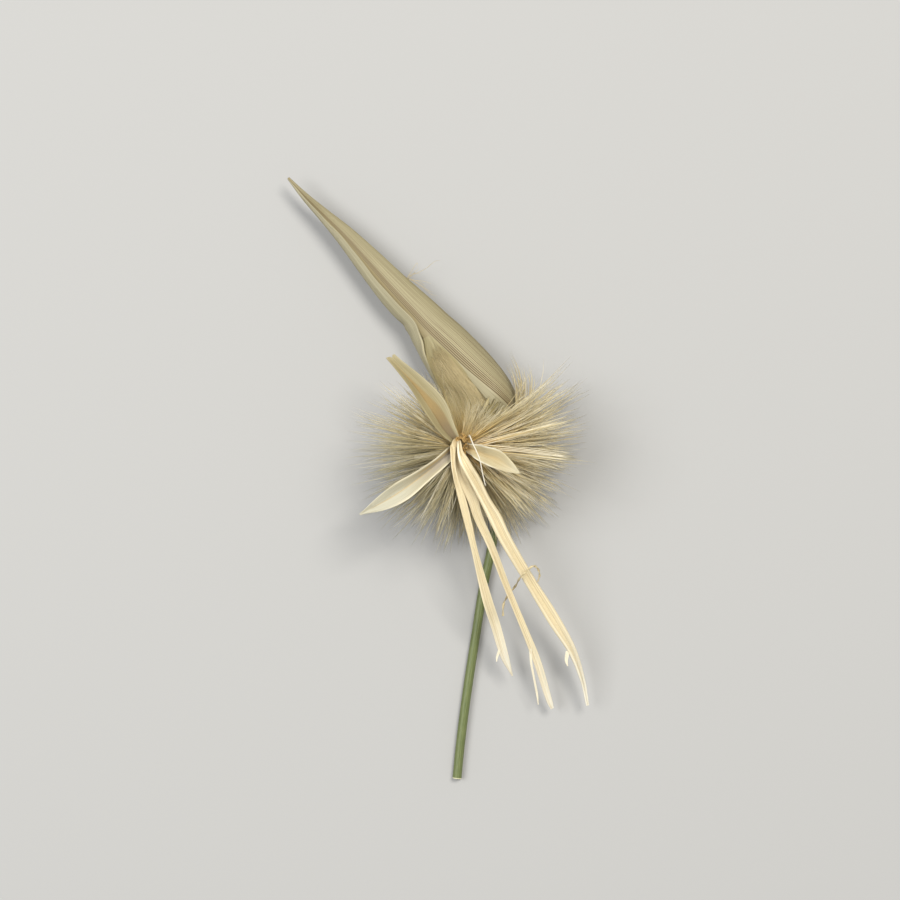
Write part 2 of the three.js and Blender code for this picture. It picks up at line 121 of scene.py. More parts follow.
# Blades: middle line from base to tip, widths at its points, depth of the groove and turn about the line.
BLADE_ROWS = 130
BLADE_COLUMNS = 30
STRAP_ROWS = 190
LEMMA_WALL = 0.16
PALEA_WALL = 0.13
SLIVER_WALL = 0.09
CRUMB_WALL = 0.08
LEMMA_UPPER_LEFT = dict(
    path=[
        (-4.85, 2.4, 9.1), (-5.1, 2.75, 9.75), (-5.98, 3.98, 10.3), (-7.25, 6.25, 11.0),
        (-9.03, 8.56, 11.4), (-10.91, 10.5, 11.5), (-12.15, 11.8, 11.4),
    ],
    width=[1.0, 1.15, 1.95, 2.6, 1.95, 1.25, 0.95],
    roll=8, groove=0.8, keel=-0.34,
)
LEMMA_LOWER_LEFT = dict(
    path=[
        (-5.25, 1.3, 9.3), (-5.7, 0.85, 9.85), (-6.9, -0.2, 10.3), (-8.6, -1.5, 10.8),
        (-10.8, -3.05, 11.0), (-12.85, -4.3, 10.9), (-15.4, -5.65, 10.5),
    ],
    width=[1.2, 1.35, 1.42, 1.72, 2.25, 1.75, 0.1],
    roll=-6, groove=0.75, keel=0.05,
)
LEMMA_RIGHT = dict(
    path=[
        (-3.65, 1.75, 9.6), (-3.2, 1.53, 10.55), (-2.55, 1.29, 11.4), (-1.68, 0.94, 12.5),
        (-0.36, 0.44, 13.9), (0.76, -0.28, 15.0), (1.98, -1.07, 15.7),
    ],
    width=[0.8, 1.15, 1.5, 1.85, 2.05, 1.4, 0.15],
    roll=10, groove=0.45, keel=0.0,
)
PALEA_LEFT = dict(
    path=[
        (-4.95, 2.35, 9.4), (-5.15, 1.8, 10.6), (-5.18, 0.81, 11.1), (-5.13, -0.3, 11.2),
        (-4.96, -1.3, 11.05), (-4.62, -2.6, 10.8), (-4.16, -4.05, 10.5), (-3.46, -6.83, 9.7),
        (-2.74, -9.84, 8.8), (-1.38, -15.13, 6.6), (-0.4, -18.2, 4.8), (0.63, -21.7, 3.6), (1.55, -24.1, 2.6),
    ],
    width=[0.3, 0.6, 0.5, 0.44, 0.46, 0.6, 0.82, 0.78, 0.68, 1.07, 1.08, 0.9, 0.08],
    groove=0.16, ochre=0.8,
)
PALEA_MIDDLE = dict(
    path=[
        (-4.62, 2.6, 9.3), (-4.8, 2.2, 10.35), (-4.74, 1.3, 10.75), (-4.55, -0.2, 10.85), (-4.2, -1.5, 10.7),
        (-3.6, -2.8, 10.45), (-2.97, -4.1, 10.1), (-2.3, -6.2, 9.3), (-1.0, -9.05, 8.25), (0.9, -13.95, 6.2),
        (2.9, -18.77, 4.6), (4.36, -22.48, 3.4), (5.7, -26.8, 2.2), (6.1, -27.9, 1.8),
    ],
    width=[0.5, 0.95, 1.2, 1.15, 1.05, 1.05, 1.15, 1.0, 0.85, 0.7, 0.74, 0.82, 0.65, 0.35],
    # Painted shade towards the base, where this strap lies under the other two.
    groove=0.14, ochre=0.8, dim=0.5,
)
PALEA_RIGHT = dict(
    path=[
        (-4.5, 2.55, 9.4), (-4.48, 2.12, 10.8), (-4.37, 1.2, 11.6), (-4.0, 0.3, 11.85), (-3.4, -0.8, 11.7),
        (-2.7, -2.0, 11.3), (-1.66, -4.05, 10.7), (-0.55, -6.05, 10.0), (0.71, -8.6, 9.1),
        (3.34, -13.05, 7.2), (6.06, -17.47, 5.4), (8.26, -21.17, 4.0), (9.49, -24.57, 2.9),
        (10.1, -27.5, 2.1),
    ],
    width=[0.3, 0.42, 0.62, 1.05, 1.15, 1.2, 1.15, 1.4, 1.33, 1.2, 1.38, 0.94, 0.54, 0.3],
    groove=0.22, ochre=0.1, white_fold=0.9,
)

# Slivers that have come loose from the straps' edges.
PALEA_LEFT_SLIVER = dict(
    path=[(0.1, -21.0, 3.95), (-0.2, -21.9, 3.75), (-0.25, -22.4, 3.8)], width=[0.3, 0.2, 0.05],
)
PALEA_MIDDLE_SLIVER = dict(
    path=[(3.55, -20.9, 3.95), (3.65, -22.5, 3.6), (4.0, -24.4, 3.1), (4.35, -26.2, 2.5), (4.5, -27.4, 2.2)],
    width=[0.3, 0.24, 0.2, 0.22, 0.05],
)
PALEA_RIGHT_SLIVER = dict(
    path=[(7.75, -21.2, 4.1), (7.6, -22.2, 3.9), (7.75, -22.9, 3.8)], width=[0.45, 0.35, 0.08],
)

# Round pieces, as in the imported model.
CULM_PATH = [
    (0.1, -0.4, 1.35), (0.1, -2.5, 1.2), (-0.05, -5.0, 1.0), (-0.75, -9.7, 0.75), (-1.65, -14.0, 0.6),
    (-2.4, -18.7, 0.52), (-3.55, -26.2, 0.5), (-4.25, -31.6, 0.5), (-4.7, -36.0, 0.5),
]
CULM_RADIUS = 0.5
FILAMENT_PATH = [
    (0.45, -17.2, 4.7), (0.5, -15.9, 4.9), (1.0, -14.9, 4.9), (1.9, -13.7, 5.3), (2.2, -12.8, 8.3),
    (2.9, -12.0, 9.1), (3.6, -11.4, 9.0), (4.15, -11.6, 8.5), (4.45, -12.4, 7.8), (4.25, -13.2, 7.3),
]
FILAMENT_RADII = [0.13, 0.14, 0.12, 0.14, 0.1]
STYLE_PATH = [
    (-3.85, 2.4, 8.9), (-3.5, 2.86, 9.3), (-3.36, 3.0, 11.0), (-3.01, 2.12, 12.8), (-2.61, 1.26, 13.6),
    (-2.26, 0.35, 13.7), (-1.98, -1.03, 13.2), (-1.63, -2.49, 12.5),
]
STYLE_RADII = [0.1, 0.085, 0.07, 0.08, 0.05]

# Hairs: locks leave the tube by the golden angle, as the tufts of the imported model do, and each lock is a few
# hairs that gather towards its tip. Few hairs reach their lock's tip, so the globe is sparse at its rim.
LOCK_COUNT = 620
LOCK_LENGTH = 10.6
LOCK_LENGTHS = (0.86, 1.04)
LOCK_ROOT_OUT = 0.85
LOCK_ROOT_SHARES = (0.12, 0.96)
LOCK_ROOT_STEP = 0.7548776662
LOCK_ELEVATIONS = (-34, 29)
LOCK_ELEVATION_EASE = 0.8
LOCK_TILT = 8
LOCK_TURN = 5
LOCK_DROOP = 9
LOCK_SPREAD = dict(mean=-0.95, sigma=0.55)
LOCK_SHADES = (0.35, 0.8)
LOCK_SIZES = (0.85, 1.45)
LONG_SIDE = 42
LONG_SIDE_GAIN = 0.28
STRAY_SIDE = 185
STRAY_GAIN = 0.22
# Locks facing this side are lighter and less grey: their own golden tone, and painted light that lifts the
# right lemma's shadow on them.
GOLDEN_AND_LIT_SIDE = -32
GOLDEN_AND_LIT_GAIN = 0.15
HAIR_REACH_EASE = 1.7
HAIR_RADIUS = 0.03
HAIR_RINGS = 7
HAIR_WAVE = 0.045
HAIR_PIECES = 4

# A lock: how many hairs it has, which shares of its length they reach, how uneven they are and how thick.
USUAL_LOCK = dict(hairs=12, reach=(0.34, 1.04), uneven=1.0, size=1.0)

# Where a lock may not go: near the table, too far out, too high, and over the hood's roof, which is what lies
# this far above the table, past this y and past this sum of x and y.
TABLE_GAP = 0.08
FARTHEST_HAIR = 11.3
HIGHEST_HAIR = 15.9
ROOF_HEIGHT = 3.6
ROOF_FRONT = 6.7
ROOF_SIDE = 5.7

# Ways to clear a lock that meets another piece: shorter lengths, and turns up or down at each. A hair that
# meets one is drawn in towards the middle of its lock by these shares.
GUIDE_SCALES = (1, 0.85, 0.7, 0.55)
GUIDE_TURNS = (0, -7, 7, -14, 14, -21, 21)
HAIR_PULLS = (0, 0.5, 0.85)

# The azimuths where straps or a lemma lie over the hairs, and the highest elevation of a lock there.
COVERED = [(-105, -48, -12), (118, 140, -2), (196, 226, -2)]

# The hood: the azimuths at which locks enter it, and what those locks are like.
HOOD = dict(low=49, high=117, locks=30, shares=(0.88, 0.98), shades=(0.5, 0.58), spreads=(0.35, 0.6))
HOOD_LOCK = dict(grey=0.12, hairs=4, reach=(0.4, 1.0), uneven=0.06, size=0.65)
HOOD_GUIDE = dict(
    tip=(-6.2, 11.2), tip_side=(-1.5, -0.7), tip_scatter=0.6, heights=(5.2, 6.3), length=4.6, bend=0.62,
)

# Short locks at the hood's low azimuths, which end over the front end of its roof.
FRONT = dict(share=0.6, high=82, length=5.1)
# Their light shade is partly their own colour and partly painted light that lifts the mat's shadow on them.
FRONT_LOCK = dict(hairs=26, size=0.6, uneven=0.4, shade=0.74, grey=0.0, reach=(0.5, 1.04))

# Single locks: where each bends and ends, how far its hairs spread, how many they are, how light and thick,
# and how far up the tube the lock starts if that isn't the usual place.
SINGLE_LOCK = dict(grey=0.1, reach=(0.88, 1.03))
SINGLE_LOCKS = [
    ((2.0, 1.4, 12.0), (8.5, 0.4, 11.0), 0.1, 26, 1.0, 3.0),
    ((3.0, 0.9, 11.0), (10.2, 0.4, 9.4), 0.05, 3, 0.9, 1.2),
    ((2.4, 0.8, 11.4), (8.0, -1.0, 10.0), 0.08, 18, 1.0, 2.4),
    ((2.0, 3.0, 12.0), (8.4, 4.8, 11.0), 0.12, 20, 0.9, 2.2),
    ((4.5, 5.8, 5.4), (1.2, 12.2, 6.0), 0.8, 20, 0.35, 1.8, 0.5),
    ((4.9, 6.2, 5.8), (3.0, 11.0, 7.0), 0.7, 18, 0.35, 1.8, 0.5),
    ((-3.2, 4.2, 10.1), (-1.6, 6.5, 8.7), 0.5, 44, 0.58, 0.8),
    ((-2.6, 4.2, 10.1), (-0.5, 6.5, 8.2), 0.5, 44, 0.62, 0.8),
    ((-2.3, 3.9, 9.9), (0.4, 5.9, 7.7), 0.5, 44, 0.6, 0.8),
]

# The mat: hairs packed so close in the hood that they make one surface. Its left and right ends at steps up
# the hood, how far it rises between them, and the fine hairs that lie on it.
MAT_LEFT = [
    (-5.6, 2.4, 8.3), (-5.85, 3.8, 7.1), (-5.95, 5.4, 5.4), (-6.28, 7.7, 3.8), (-7.1, 9.4, 3.87),
    (-7.93, 11.3, 3.97), (-8.25, 12.5, 3.95), (-8.9, 14.6, 3.7),
]
MAT_RIGHT = [
    (-3.5, 2.9, 8.5), (-1.9, 4.0, 7.5), (0.8, 5.0, 5.2), (0.1, 6.9, 5.9), (-2.3, 9.4, 5.75),
    (-4.4, 11.5, 5.35), (-5.9, 13.0, 4.9), (-7.7, 15.0, 4.4),
]
MAT_CROWN = [0.5, 0.6, 1.0, 0.95, 0.75, 0.5, 0.3]
MAT_ROWS = 140
MAT_COLUMNS = 120
MAT_STRANDS = 34
MAT_RELIEF = 0.014
MAT_HALF_WALL = 0.06
MAT_HAIRS = 1500
MAT_HAIR_LIFT = (0.08, 0.12)
MAT_HAIR_STEPS = (0.5698402910, 0.7548776662)
COMBED_SHADES = (0.34, 0.48)
COMBED_GREY = 0.4
COMBED_SIZE = 0.5

# The core: the hairs packed round the tube, from one side of the hood round to the other. Its radii are its
# inner edge's, its outer edge's and what the outer one gains on the side of the long hairs.
CORE_AZIMUTHS = (112, 420)
CORE_RADII = (0.85, 5.2, 1.6)
CORE_LEVEL = 9.2
CORE_SLOPES = (-3, 8)
CORE_DROOP = 0.035
CORE_ROWS = 28
CORE_COLUMNS = 900
CORE_AROUND = 5
CORE_HALF_WALL = 0.04

# Fluff on the spathe's right edge: where its fibres start, where they end and how thick they are.
FLUFF_AT = np.array([-10.25, 20.8, 2.7])
FLUFF_ENDS = np.array([
    (-9.0, 21.9, 3.5), (-8.8, 21.3, 3.3), (-9.2, 22.1, 3.0), (-6.6, 22.8, 3.3), (-7.6, 20.2, 2.9),
    (-7.0, 18.9, 2.8), (-8.2, 20.0, 3.0), (-7.4, 19.3, 2.3),
])
FLUFF_RADII = [0.022, 0.02, 0.016, 0.008]

# Papery straw: colours of its body, fibres, veins, rib and pale and bright parts, the colour of its painted
# shade, and how many veins.
STRAWS = {
    "spathe_straw": dict(
        body=(0.43, 0.38, 0.22), dark=(0.27, 0.22, 0.115), vein=(0.12, 0.08, 0.035), rib=(0.27, 0.205, 0.10),
        pale=(0.49, 0.455, 0.31), bright=(0.70, 0.61, 0.37), dim=(0.33, 0.245, 0.11), veins=VEIN_COUNT,
        fineness=120.0,
    ),
    # The upper left lemma's straw: darker than the lemma straw, partly its own duller tone and partly painted
    # shade.
    "dull_and_shaded_straw": dict(
        body=(0.43, 0.37, 0.2), dark=(0.36, 0.30, 0.155), vein=(0.32, 0.245, 0.12), rib=(0.40, 0.27, 0.10),
        pale=(0.54, 0.49, 0.31), bright=(0.60, 0.54, 0.36), dim=(0.25, 0.18, 0.105), veins=7,
    ),
    "lemma_straw": dict(
        body=(0.545, 0.495, 0.33), dark=(0.45, 0.39, 0.24), vein=(0.40, 0.31, 0.17), rib=(0.55, 0.38, 0.16),
        pale=(0.60, 0.585, 0.47), bright=(0.84, 0.77, 0.56), dim=(0.43, 0.37, 0.28), veins=7,
    ),
    # The right lemma's straw: lighter and yellower than the lemma straw, partly its own golden tone and partly
    # painted light, as its tilted face gets less of the key light.
    "golden_and_lit_straw": dict(
        body=(0.66, 0.58, 0.36), dark=(0.56, 0.46, 0.25), vein=(0.48, 0.36, 0.17), rib=(0.62, 0.45, 0.20),
        pale=(0.66, 0.62, 0.46), bright=(0.86, 0.82, 0.66), dim=(0.50, 0.34, 0.13), veins=7,
    ),
    "palea_straw": dict(
        body=(0.86, 0.765, 0.52), dark=(0.70, 0.575, 0.34), vein=(0.50, 0.36, 0.17), rib=(0.50, 0.37, 0.18),
        pale=(0.78, 0.76, 0.66), bright=(0.90, 0.84, 0.64), dim=(0.62, 0.50, 0.29), veins=6,
        fineness=18.0, translucent=0.18,
    ),
}

# Hair colours from root to tip: each is a share of the length and its colour there.
HAIR_STOPS = [
    (0.0, 0.80, 0.55, 0.18), (0.25, 0.84, 0.65, 0.28), (0.6, 0.80, 0.68, 0.38), (1.0, 0.80, 0.74, 0.54),
]


# Numbers

def unit(vectors):
    return vectors / np.maximum(np.linalg.norm(vectors, axis=-1, keepdims=True), 1e-12)


def spline(values, t):
    """Smooth line through evenly numbered values, read at t from 0 to 1."""
    values = np.asarray(values, float)
    last = len(values) - 1
    at = np.clip(np.asarray(t, float), 0, 1) * last
    i = np.minimum(at.astype(int), last - 1)
    u = at - i
    if values.ndim > 1:
        u = u[..., None]
    padded = np.concatenate([2 * values[:1] - values[1:2], values, 2 * values[-1:] - values[-2:-1]])
    p0, p1, p2, p3 = (padded[i + k] for k in range(4))
    linear = (p2 - p0) * u
    square = (2 * p0 - 5 * p1 + 4 * p2 - p3) * u**2
    cube = (3 * p1 - p0 - 3 * p2 + p3) * u**3
    return 0.5 * (2 * p1 + linear + square + cube)


def smoothstep(low, high, x):
    x = np.clip((x - low) / (high - low), 0, 1)
    return x * x * (3 - 2 * x)


def bump_at(centre, width, x):
    """A smooth bump of height 1 round centre."""
    return np.exp(-(((x - centre) / width) ** 2))


def directions(azimuth, elevation):
    around = np.radians(azimuth)
    rise = np.radians(elevation)
    level = np.cos(rise)
    return np.stack([level * np.cos(around), level * np.sin(around), np.sin(rise)], axis=-1)


def facing(azimuth, side):
    """1 where an azimuth faces a side, and less away from it."""
    return np.cos(np.radians(azimuth - side))


# Meshes: a form is a dict of points (n, 3), triangles (m, 3) and values, one number a point

def split_quads(a, b, c, d):
    return np.concatenate([np.stack([a, b, c], -1).reshape(-1, 3), np.stack([a, c, d], -1).reshape(-1, 3)])


def closed_form(points, triangles, values):
    """A form with its faces turned outward."""
    a, b, c = (points[triangles[:, k]] for k in range(3))
    if np.einsum("ij,ij->i", a, np.cross(b, c)).sum() < 0:
        triangles = triangles[:, ::-1]
    return dict(points=points, triangles=triangles, values=values)


def sheet(middle, above, below, values):
    """A closed thin sheet round a grid of points. above and below are its two faces' distances from it."""
    rows, columns = middle.shape[:2]
    across = np.gradient(middle, axis=1)
    along = np.gradient(middle, axis=0)
    normal = unit(np.cross(across, along))
    above, below = (np.broadcast_to(part, (rows, columns))[..., None] for part in (above, below))
    points = np.concatenate([middle + normal * above, middle - normal * below])
    number = np.arange(rows * columns).reshape(rows, columns)
    under = number + rows * columns
    triangles = np.concatenate([
        split_quads(number[:-1, :-1], number[:-1, 1:], number[1:, 1:], number[1:, :-1]),
        split_quads(under[:-1, :-1], under[1:, :-1], under[1:, 1:], under[:-1, 1:]),
        split_quads(under[:-1, 0], number[:-1, 0], number[1:, 0], under[1:, 0]),
        split_quads(number[:-1, -1], under[:-1, -1], under[1:, -1], number[1:, -1]),
        split_quads(number[0, :-1], under[0, :-1], under[0, 1:], number[0, 1:]),
        split_quads(number[-1, 1:], under[-1, 1:], under[-1, :-1], number[-1, :-1]),
    ])
    values = {name: np.tile(np.broadcast_to(v, (rows, columns)).ravel(), 2) for name, v in values.items()}
    return closed_form(points.reshape(-1, 3), triangles, values)


def tubular(rings, ends, along, across, more=()):
    """A closed form of rings, with a fan at each end. along and across end with a value for each end."""
    rows, sides = rings.shape[:2]
    points = np.concatenate([rings.reshape(-1, 3), ends])
    number = np.arange(rows * sides).reshape(rows, sides)
    after = np.roll(number, -1, axis=1)
    first, last = rows * sides, rows * sides + 1
    triangles = np.concatenate([
        split_quads(number[:-1], number[1:], after[1:], after[:-1]),
        np.stack([np.full(sides, first), number[0], after[0]], -1),
        np.stack([np.full(sides, last), after[-1], number[-1]], -1),
    ])
    return closed_form(points, triangles, dict(more, along=along, across=across))


def frames_along(centre):
    """Two directions across a line at each of its points, turned as little as possible along it."""
    forward = unit(np.gradient(centre, axis=0))
    side = unit(np.cross(forward[0], UP) + 1e-9)
    sides = []
    for direction in forward:
        side = unit(side - direction * np.dot(side, direction))
        sides.append(side)
    sides = np.array(sides)
    return sides, np.cross(sides, forward)


def rod(path, rows, sides, radii, twist=0.0, flat=1.0, ridges=0, ridge_height=0.0):
    """A closed rod round a line. radii are read along it, flat squeezes it and twist turns it, in degrees."""
    t = np.linspace(0, 1, rows)
    centre = spline(path, t)
    side, over = frames_along(centre)
    angle = np.linspace(0, 2 * np.pi, sides, endpoint=False)
    radius = spline(radii, t)[:, None] * (1 + ridge_height * np.cos(ridges * angle))
    turned = np.radians(twist) * t[:, None]
    wide = radius * np.cos(angle)
    thin = radius * np.sin(angle) * flat
    x = wide * np.cos(turned) - thin * np.sin(turned)
    y = wide * np.sin(turned) + thin * np.cos(turned)
    rings = centre[:, None] + x[..., None] * side[:, None] + y[..., None] * over[:, None]
    along = np.append(np.repeat(t, sides), [0, 1])
    across = np.append(np.tile(angle, rows), angle[[0, -1]]) / (2 * np.pi)
    return tubular(rings, centre[[0, -1]], along, across)


def joined(forms):
    """Several forms as one. A value that a form lacks is 0 there."""
    names = sorted(set(name for form in forms for name in form["values"]))
    points, triangles, count = [], [], 0
    values = {name: [] for name in names}
    for form in forms:
        triangles.append(form["triangles"] + count)
        points.append(form["points"])
        count += len(form["points"])
        for name in names:
            values[name].append(form["values"].get(name, np.zeros(len(form["points"]))))
    values = {name: np.concatenate(v) for name, v in values.items()}
    return dict(points=np.concatenate(points), triangles=np.concatenate(triangles), values=values)


def make_piece(name, form, material, nodes, sharp=None):
    """A Blender object from a form. It rides on the plant's body and stands for the named CAD nodes."""
    mesh = bpy.data.meshes.new(name)
    corners = form["triangles"].ravel().astype(np.int32)
    mesh.vertices.add(len(form["points"]))
    mesh.vertices.foreach_set("co", (form["points"] * MM).astype(np.float32).ravel())
    mesh.loops.add(len(corners))
    mesh.loops.foreach_set("vertex_index", corners)
    mesh.polygons.add(len(corners) // 3)
    mesh.polygons.foreach_set("loop_start", np.arange(0, len(corners), 3, dtype=np.int32))
    for value, numbers in form["values"].items():
        attribute = mesh.attributes.new(value, "FLOAT", "POINT")
        attribute.data.foreach_set("value", numbers.astype(np.float32))
    mesh.update(calc_edges=True)
    mesh.shade_smooth()
    if sharp:
        mesh.set_sharp_from_angle(angle=math.radians(sharp))
    mesh.materials.append(material)
    piece = bpy.data.objects.new(name, mesh)
    bpy.context.scene.collection.objects.link(piece)
    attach(piece, BODY)
    if nodes:
        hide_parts(*nodes)


# Materials

def put(tree, kind, inputs=(), **settings):
    """Adds a shader node. Inputs are numbers, colours or sockets of other nodes."""
    made = tree.nodes.new("ShaderNode" + kind)
    for name, setting in settings.items():
        setattr(made, name, setting)
    for name, given in dict(inputs).items():
        if isinstance(given, bpy.types.NodeSocket):
            tree.links.new(given, made.inputs[name])
        else:
            made.inputs[name].default_value = given
    return made


def value_of(tree, name):
    return put(tree, "Attribute", attribute_name=name, attribute_type="GEOMETRY").outputs["Fac"]


def maths(tree, operation, a, b=0.0, c=0.0):
    return put(tree, "Math", {0: a, 1: b, 2: c}, operation=operation).outputs[0]


def times(tree, a, b):
    return maths(tree, "MULTIPLY", a, b)


def mixed(tree, factor, a, b):
    """A mix of two colours, each a socket or three numbers."""
    a, b = (given if isinstance(given, bpy.types.NodeSocket) else (*given, 1) for given in (a, b))
    return put(tree, "Mix", {0: factor, 6: a, 7: b}, data_type="RGBA").outputs[2]


def tinted(tree, colour, tints):
    """A colour with tints laid over it one by one, each given as its cover, a socket, and its colour."""
    for cover, tint in tints:
        colour = mixed(tree, cover, colour, tint)
    return colour


def ranged(tree, value, low, high, new_low=0.0, new_high=1.0):
    inputs = {0: value, 1: low, 2: high, 3: new_low, 4: new_high}
    return put(tree, "MapRange", inputs, interpolation_type="SMOOTHSTEP").outputs[0]


def streaks(tree, across, along, fineness, length, detail=3.0):
    """Noise drawn out along a piece, as fibres are."""
    x = times(tree, across, fineness)
    y = times(tree, along, length)
    at = put(tree, "CombineXYZ", {0: x, 1: y}).outputs[0]
    return put(tree, "TexNoise", {"Vector": at, "Scale": 1.0, "Detail": detail}).outputs["Fac"]


def blotches(tree, scale, detail):
    return put(tree, "TexNoise", {"Scale": scale, "Detail": detail}).outputs["Fac"]


def new_material(name):
    material = bpy.data.materials.new(name)
    material.use_nodes = True
    material.node_tree.nodes.clear()
    return material, material.node_tree


def finish_material(tree, surface, translucent=0.0, height=None, bump=0.0):
    """Ends a material: a plain surface, bumped by height, with some light let through it from behind."""
    through = {"Color": surface["Base Color"]}
    if height is not None:
        normal = put(tree, "Bump", {"Height": height, "Strength": 1.0, "Distance": bump * MM}).outputs[0]
        surface["Normal"] = through["Normal"] = normal
    shader = put(tree, "BsdfPrincipled", surface).outputs[0]
    if translucent:
        behind = put(tree, "BsdfTranslucent", through).outputs[0]
        shader = put(tree, "MixShader", {0: translucent, 1: shader, 2: behind}).outputs[0]
    tree.links.new(shader, put(tree, "OutputMaterial").inputs[0])


def look_of(colour, roughness, specular=0.4):
    return {"Base Color": colour, "Roughness": roughness, "Specular IOR Level": specular}


def vein_covers(tree, across, ribbed, fine, broad, veins):
    """How far veins and the pale ridges between them show. A vein is one turn of a wave that wanders."""
    veined = value_of(tree, "veined")
    wander = times(tree, maths(tree, "SUBTRACT", broad, 0.5), 0.3)
    turns = maths(tree, "MULTIPLY_ADD", across, veins, wander)
    wave = maths(tree, "COSINE", times(tree, turns, 2 * math.pi))
    number = maths(tree, "ROUND", turns)
    own = put(tree, "TexWhiteNoise", {"W": number}, noise_dimensions="1D").outputs["Value"]
    ridge = times(tree, ranged(tree, wave, -0.2, -0.8), ranged(tree, own, 0.3, 1.0, 0.1, 0.7))
    ridge = times(tree, ridge, maths(tree, "SUBTRACT", 1.0, ribbed))
    strength = maths(tree, "MAXIMUM", ranged(tree, own, 0.3, 0.7, 0.15, 1.0), ribbed)
    strength = times(tree, strength, ranged(tree, fine, 0.25, 0.55, 0.55, 1.0))
    strength = times(tree, strength, veined)
    return times(tree, ranged(tree, wave, -0.1, 0.8), strength), times(tree, ridge, veined)


def bract_material(name, body, dark, vein, rib, pale, bright, dim, veins, fineness=22.0, translucent=0.3):
    """Dry papery bract: fibres, veins where it is veined, a rib, pale parts, painted shade and bright edges."""
    material, tree = new_material(name)
    across, along, ribbed = (value_of(tree, value) for value in ("across", "along", "rib"))
    fine = streaks(tree, across, along, fineness, 5.0)
    broad = streaks(tree, across, along, fineness / 5, 2.0, detail=1.0)
    vein_cover, ridge_cover = vein_covers(tree, across, ribbed, fine, broad, veins)
    colour = tinted(tree, body, [
        (ranged(tree, fine, 0.35, 0.75), dark),
        (ranged(tree, broad, 0.45, 0.8, 0.0, 0.45), dark),
        (times(tree, ribbed, ranged(tree, fine, 0.2, 0.5, 0.6, 1.0)), rib),
        (times(tree, value_of(tree, "pale"), ranged(tree, fine, 0.2, 0.7, 1.0, 0.6)), pale),
        # Painted shade: darker in grooves, at bases and under margins where shade falls.
        (value_of(tree, "dim"), dim),
        (ridge_cover, bright),
        (vein_cover, vein),
        (value_of(tree, "edge"), bright),
        (ranged(tree, blotches(tree, 260.0, 4.0), 0.52, 0.75, 0.0, 0.3), dark),
    ])
    finish_material(tree, look_of(colour, ranged(tree, fine, 0.2, 0.8, 0.42, 0.62)), translucent, fine, 0.03)
    return material


def hair_ramp(tree, along):
    ramp = put(tree, "ValToRGB", {0: along})
    elements = ramp.color_ramp.elements
    while len(elements) < len(HAIR_STOPS):
        elements.new(0.5)
    for element, (place, *colour) in zip(elements, HAIR_STOPS):
        element.position = place
        element.color = (*colour, 1)
    return ramp.outputs[0]


def hair_material():
    """Silky hair: ochre at the root and silvery at the tip. Each hair has its own shade."""
    material, tree = new_material("silky_hair")
    along, shade, grey = (value_of(tree, value) for value in ("along", "shade", "grey"))
    colour = tinted(tree, hair_ramp(tree, along), [
        # Greyer hairs: a grey tone, and painted shade on the side of the globe away from the key light.
        (ranged(tree, grey, 0.0, 1.0, 0.0, 0.75), (0.47, 0.43, 0.27)),
        (ranged(tree, shade, 0.0, 0.45, 0.5, 0.0), (0.42, 0.32, 0.15)),
        (ranged(tree, shade, 0.65, 1.0, 0.0, 0.6), (0.93, 0.88, 0.74)),
    ])
    finish_material(tree, look_of(colour, 0.42, 0.5), 0.3)
    return material


def mat_material():
    """Combed silky hairs, packed close: fine strands, golden at the mouth and duller up the hood."""
    material, tree = new_material("combed_hair")
    across, along = value_of(tree, "across"), value_of(tree, "along")
    fine = streaks(tree, across, along, 130.0, 2.5)
    broad = streaks(tree, across, along, 22.0, 1.2, detail=1.0)
    colour = tinted(tree, (0.64, 0.45, 0.16), [
        (ranged(tree, along, 0.0, 0.5), (0.48, 0.40, 0.19)),
        (ranged(tree, along, 0.2, 0.7), (0.39, 0.32, 0.15)),
        (ranged(tree, along, 0.7, 0.95), (0.40, 0.345, 0.18)),
        # Greyer on the core's side away from the key light: painted shade.
        (value_of(tree, "grey"), (0.36, 0.33, 0.19)),
        (ranged(tree, fine, 0.45, 0.8, 0.0, 0.35), (0.33, 0.255, 0.11)),
        (ranged(tree, fine, 0.45, 0.2, 0.0, 0.4), (0.60, 0.52, 0.29)),
        (ranged(tree, broad, 0.45, 0.7, 0.0, 0.15), (0.38, 0.30, 0.14)),
    ])
    finish_material(tree, look_of(colour, 0.45), 0.3, fine, 0.03)
    return material


def culm_material():
    """Dry green culm: fine ridges, straw coloured where it has begun to fade and at its cut end."""
    material, tree = new_material("green_culm")
    along = value_of(tree, "along")
    fine = streaks(tree, value_of(tree, "across"), along, 60.0, 30.0)
    colour = tinted(tree, (0.085, 0.11, 0.032), [
        (ranged(tree, fine, 0.35, 0.7), (0.14, 0.16, 0.055)),
        (ranged(tree, blotches(tree, 90.0, 3.0), 0.55, 0.8, 0.0, 0.5), (0.24, 0.23, 0.10)),
        (ranged(tree, along, 0.0, 0.22, 0.75, 0.0), (0.38, 0.34, 0.17)),
        (ranged(tree, along, 0.9965, 0.9985), (0.52, 0.50, 0.30)),
    ])
    finish_material(tree, look_of(colour, 0.45), height=fine, bump=0.02)
    return material


def thread_material(name, colour, dark, translucent):
    """A dry thread, streaked along its length."""
    material, tree = new_material(name)
    fine = streaks(tree, value_of(tree, "across"), value_of(tree, "along"), 6.0, 40.0)
    streaked = mixed(tree, ranged(tree, fine, 0.4, 0.75), colour, dark)
    finish_material(tree, look_of(streaked, 0.5), translucent, fine, 0.01)
    return material


def brown_material():
    """Dried anther and ovary: crumbly brown, ochre on its edges."""
    material, tree = new_material("dried_brown")
    fine = blotches(tree, 2600.0, 5.0)
    edge = ranged(tree, maths(tree, "ABSOLUTE", value_of(tree, "across")), 0.5, 1.0)
    colour = tinted(tree, (0.26, 0.12, 0.03), [
        (ranged(tree, fine, 0.4, 0.7), (0.70, 0.42, 0.12)),
        (times(tree, edge, 0.7), (0.88, 0.62, 0.24)),
    ])
    finish_material(tree, look_of(colour, 0.75), 0.15, fine, 0.06)
    return material


# Spathe

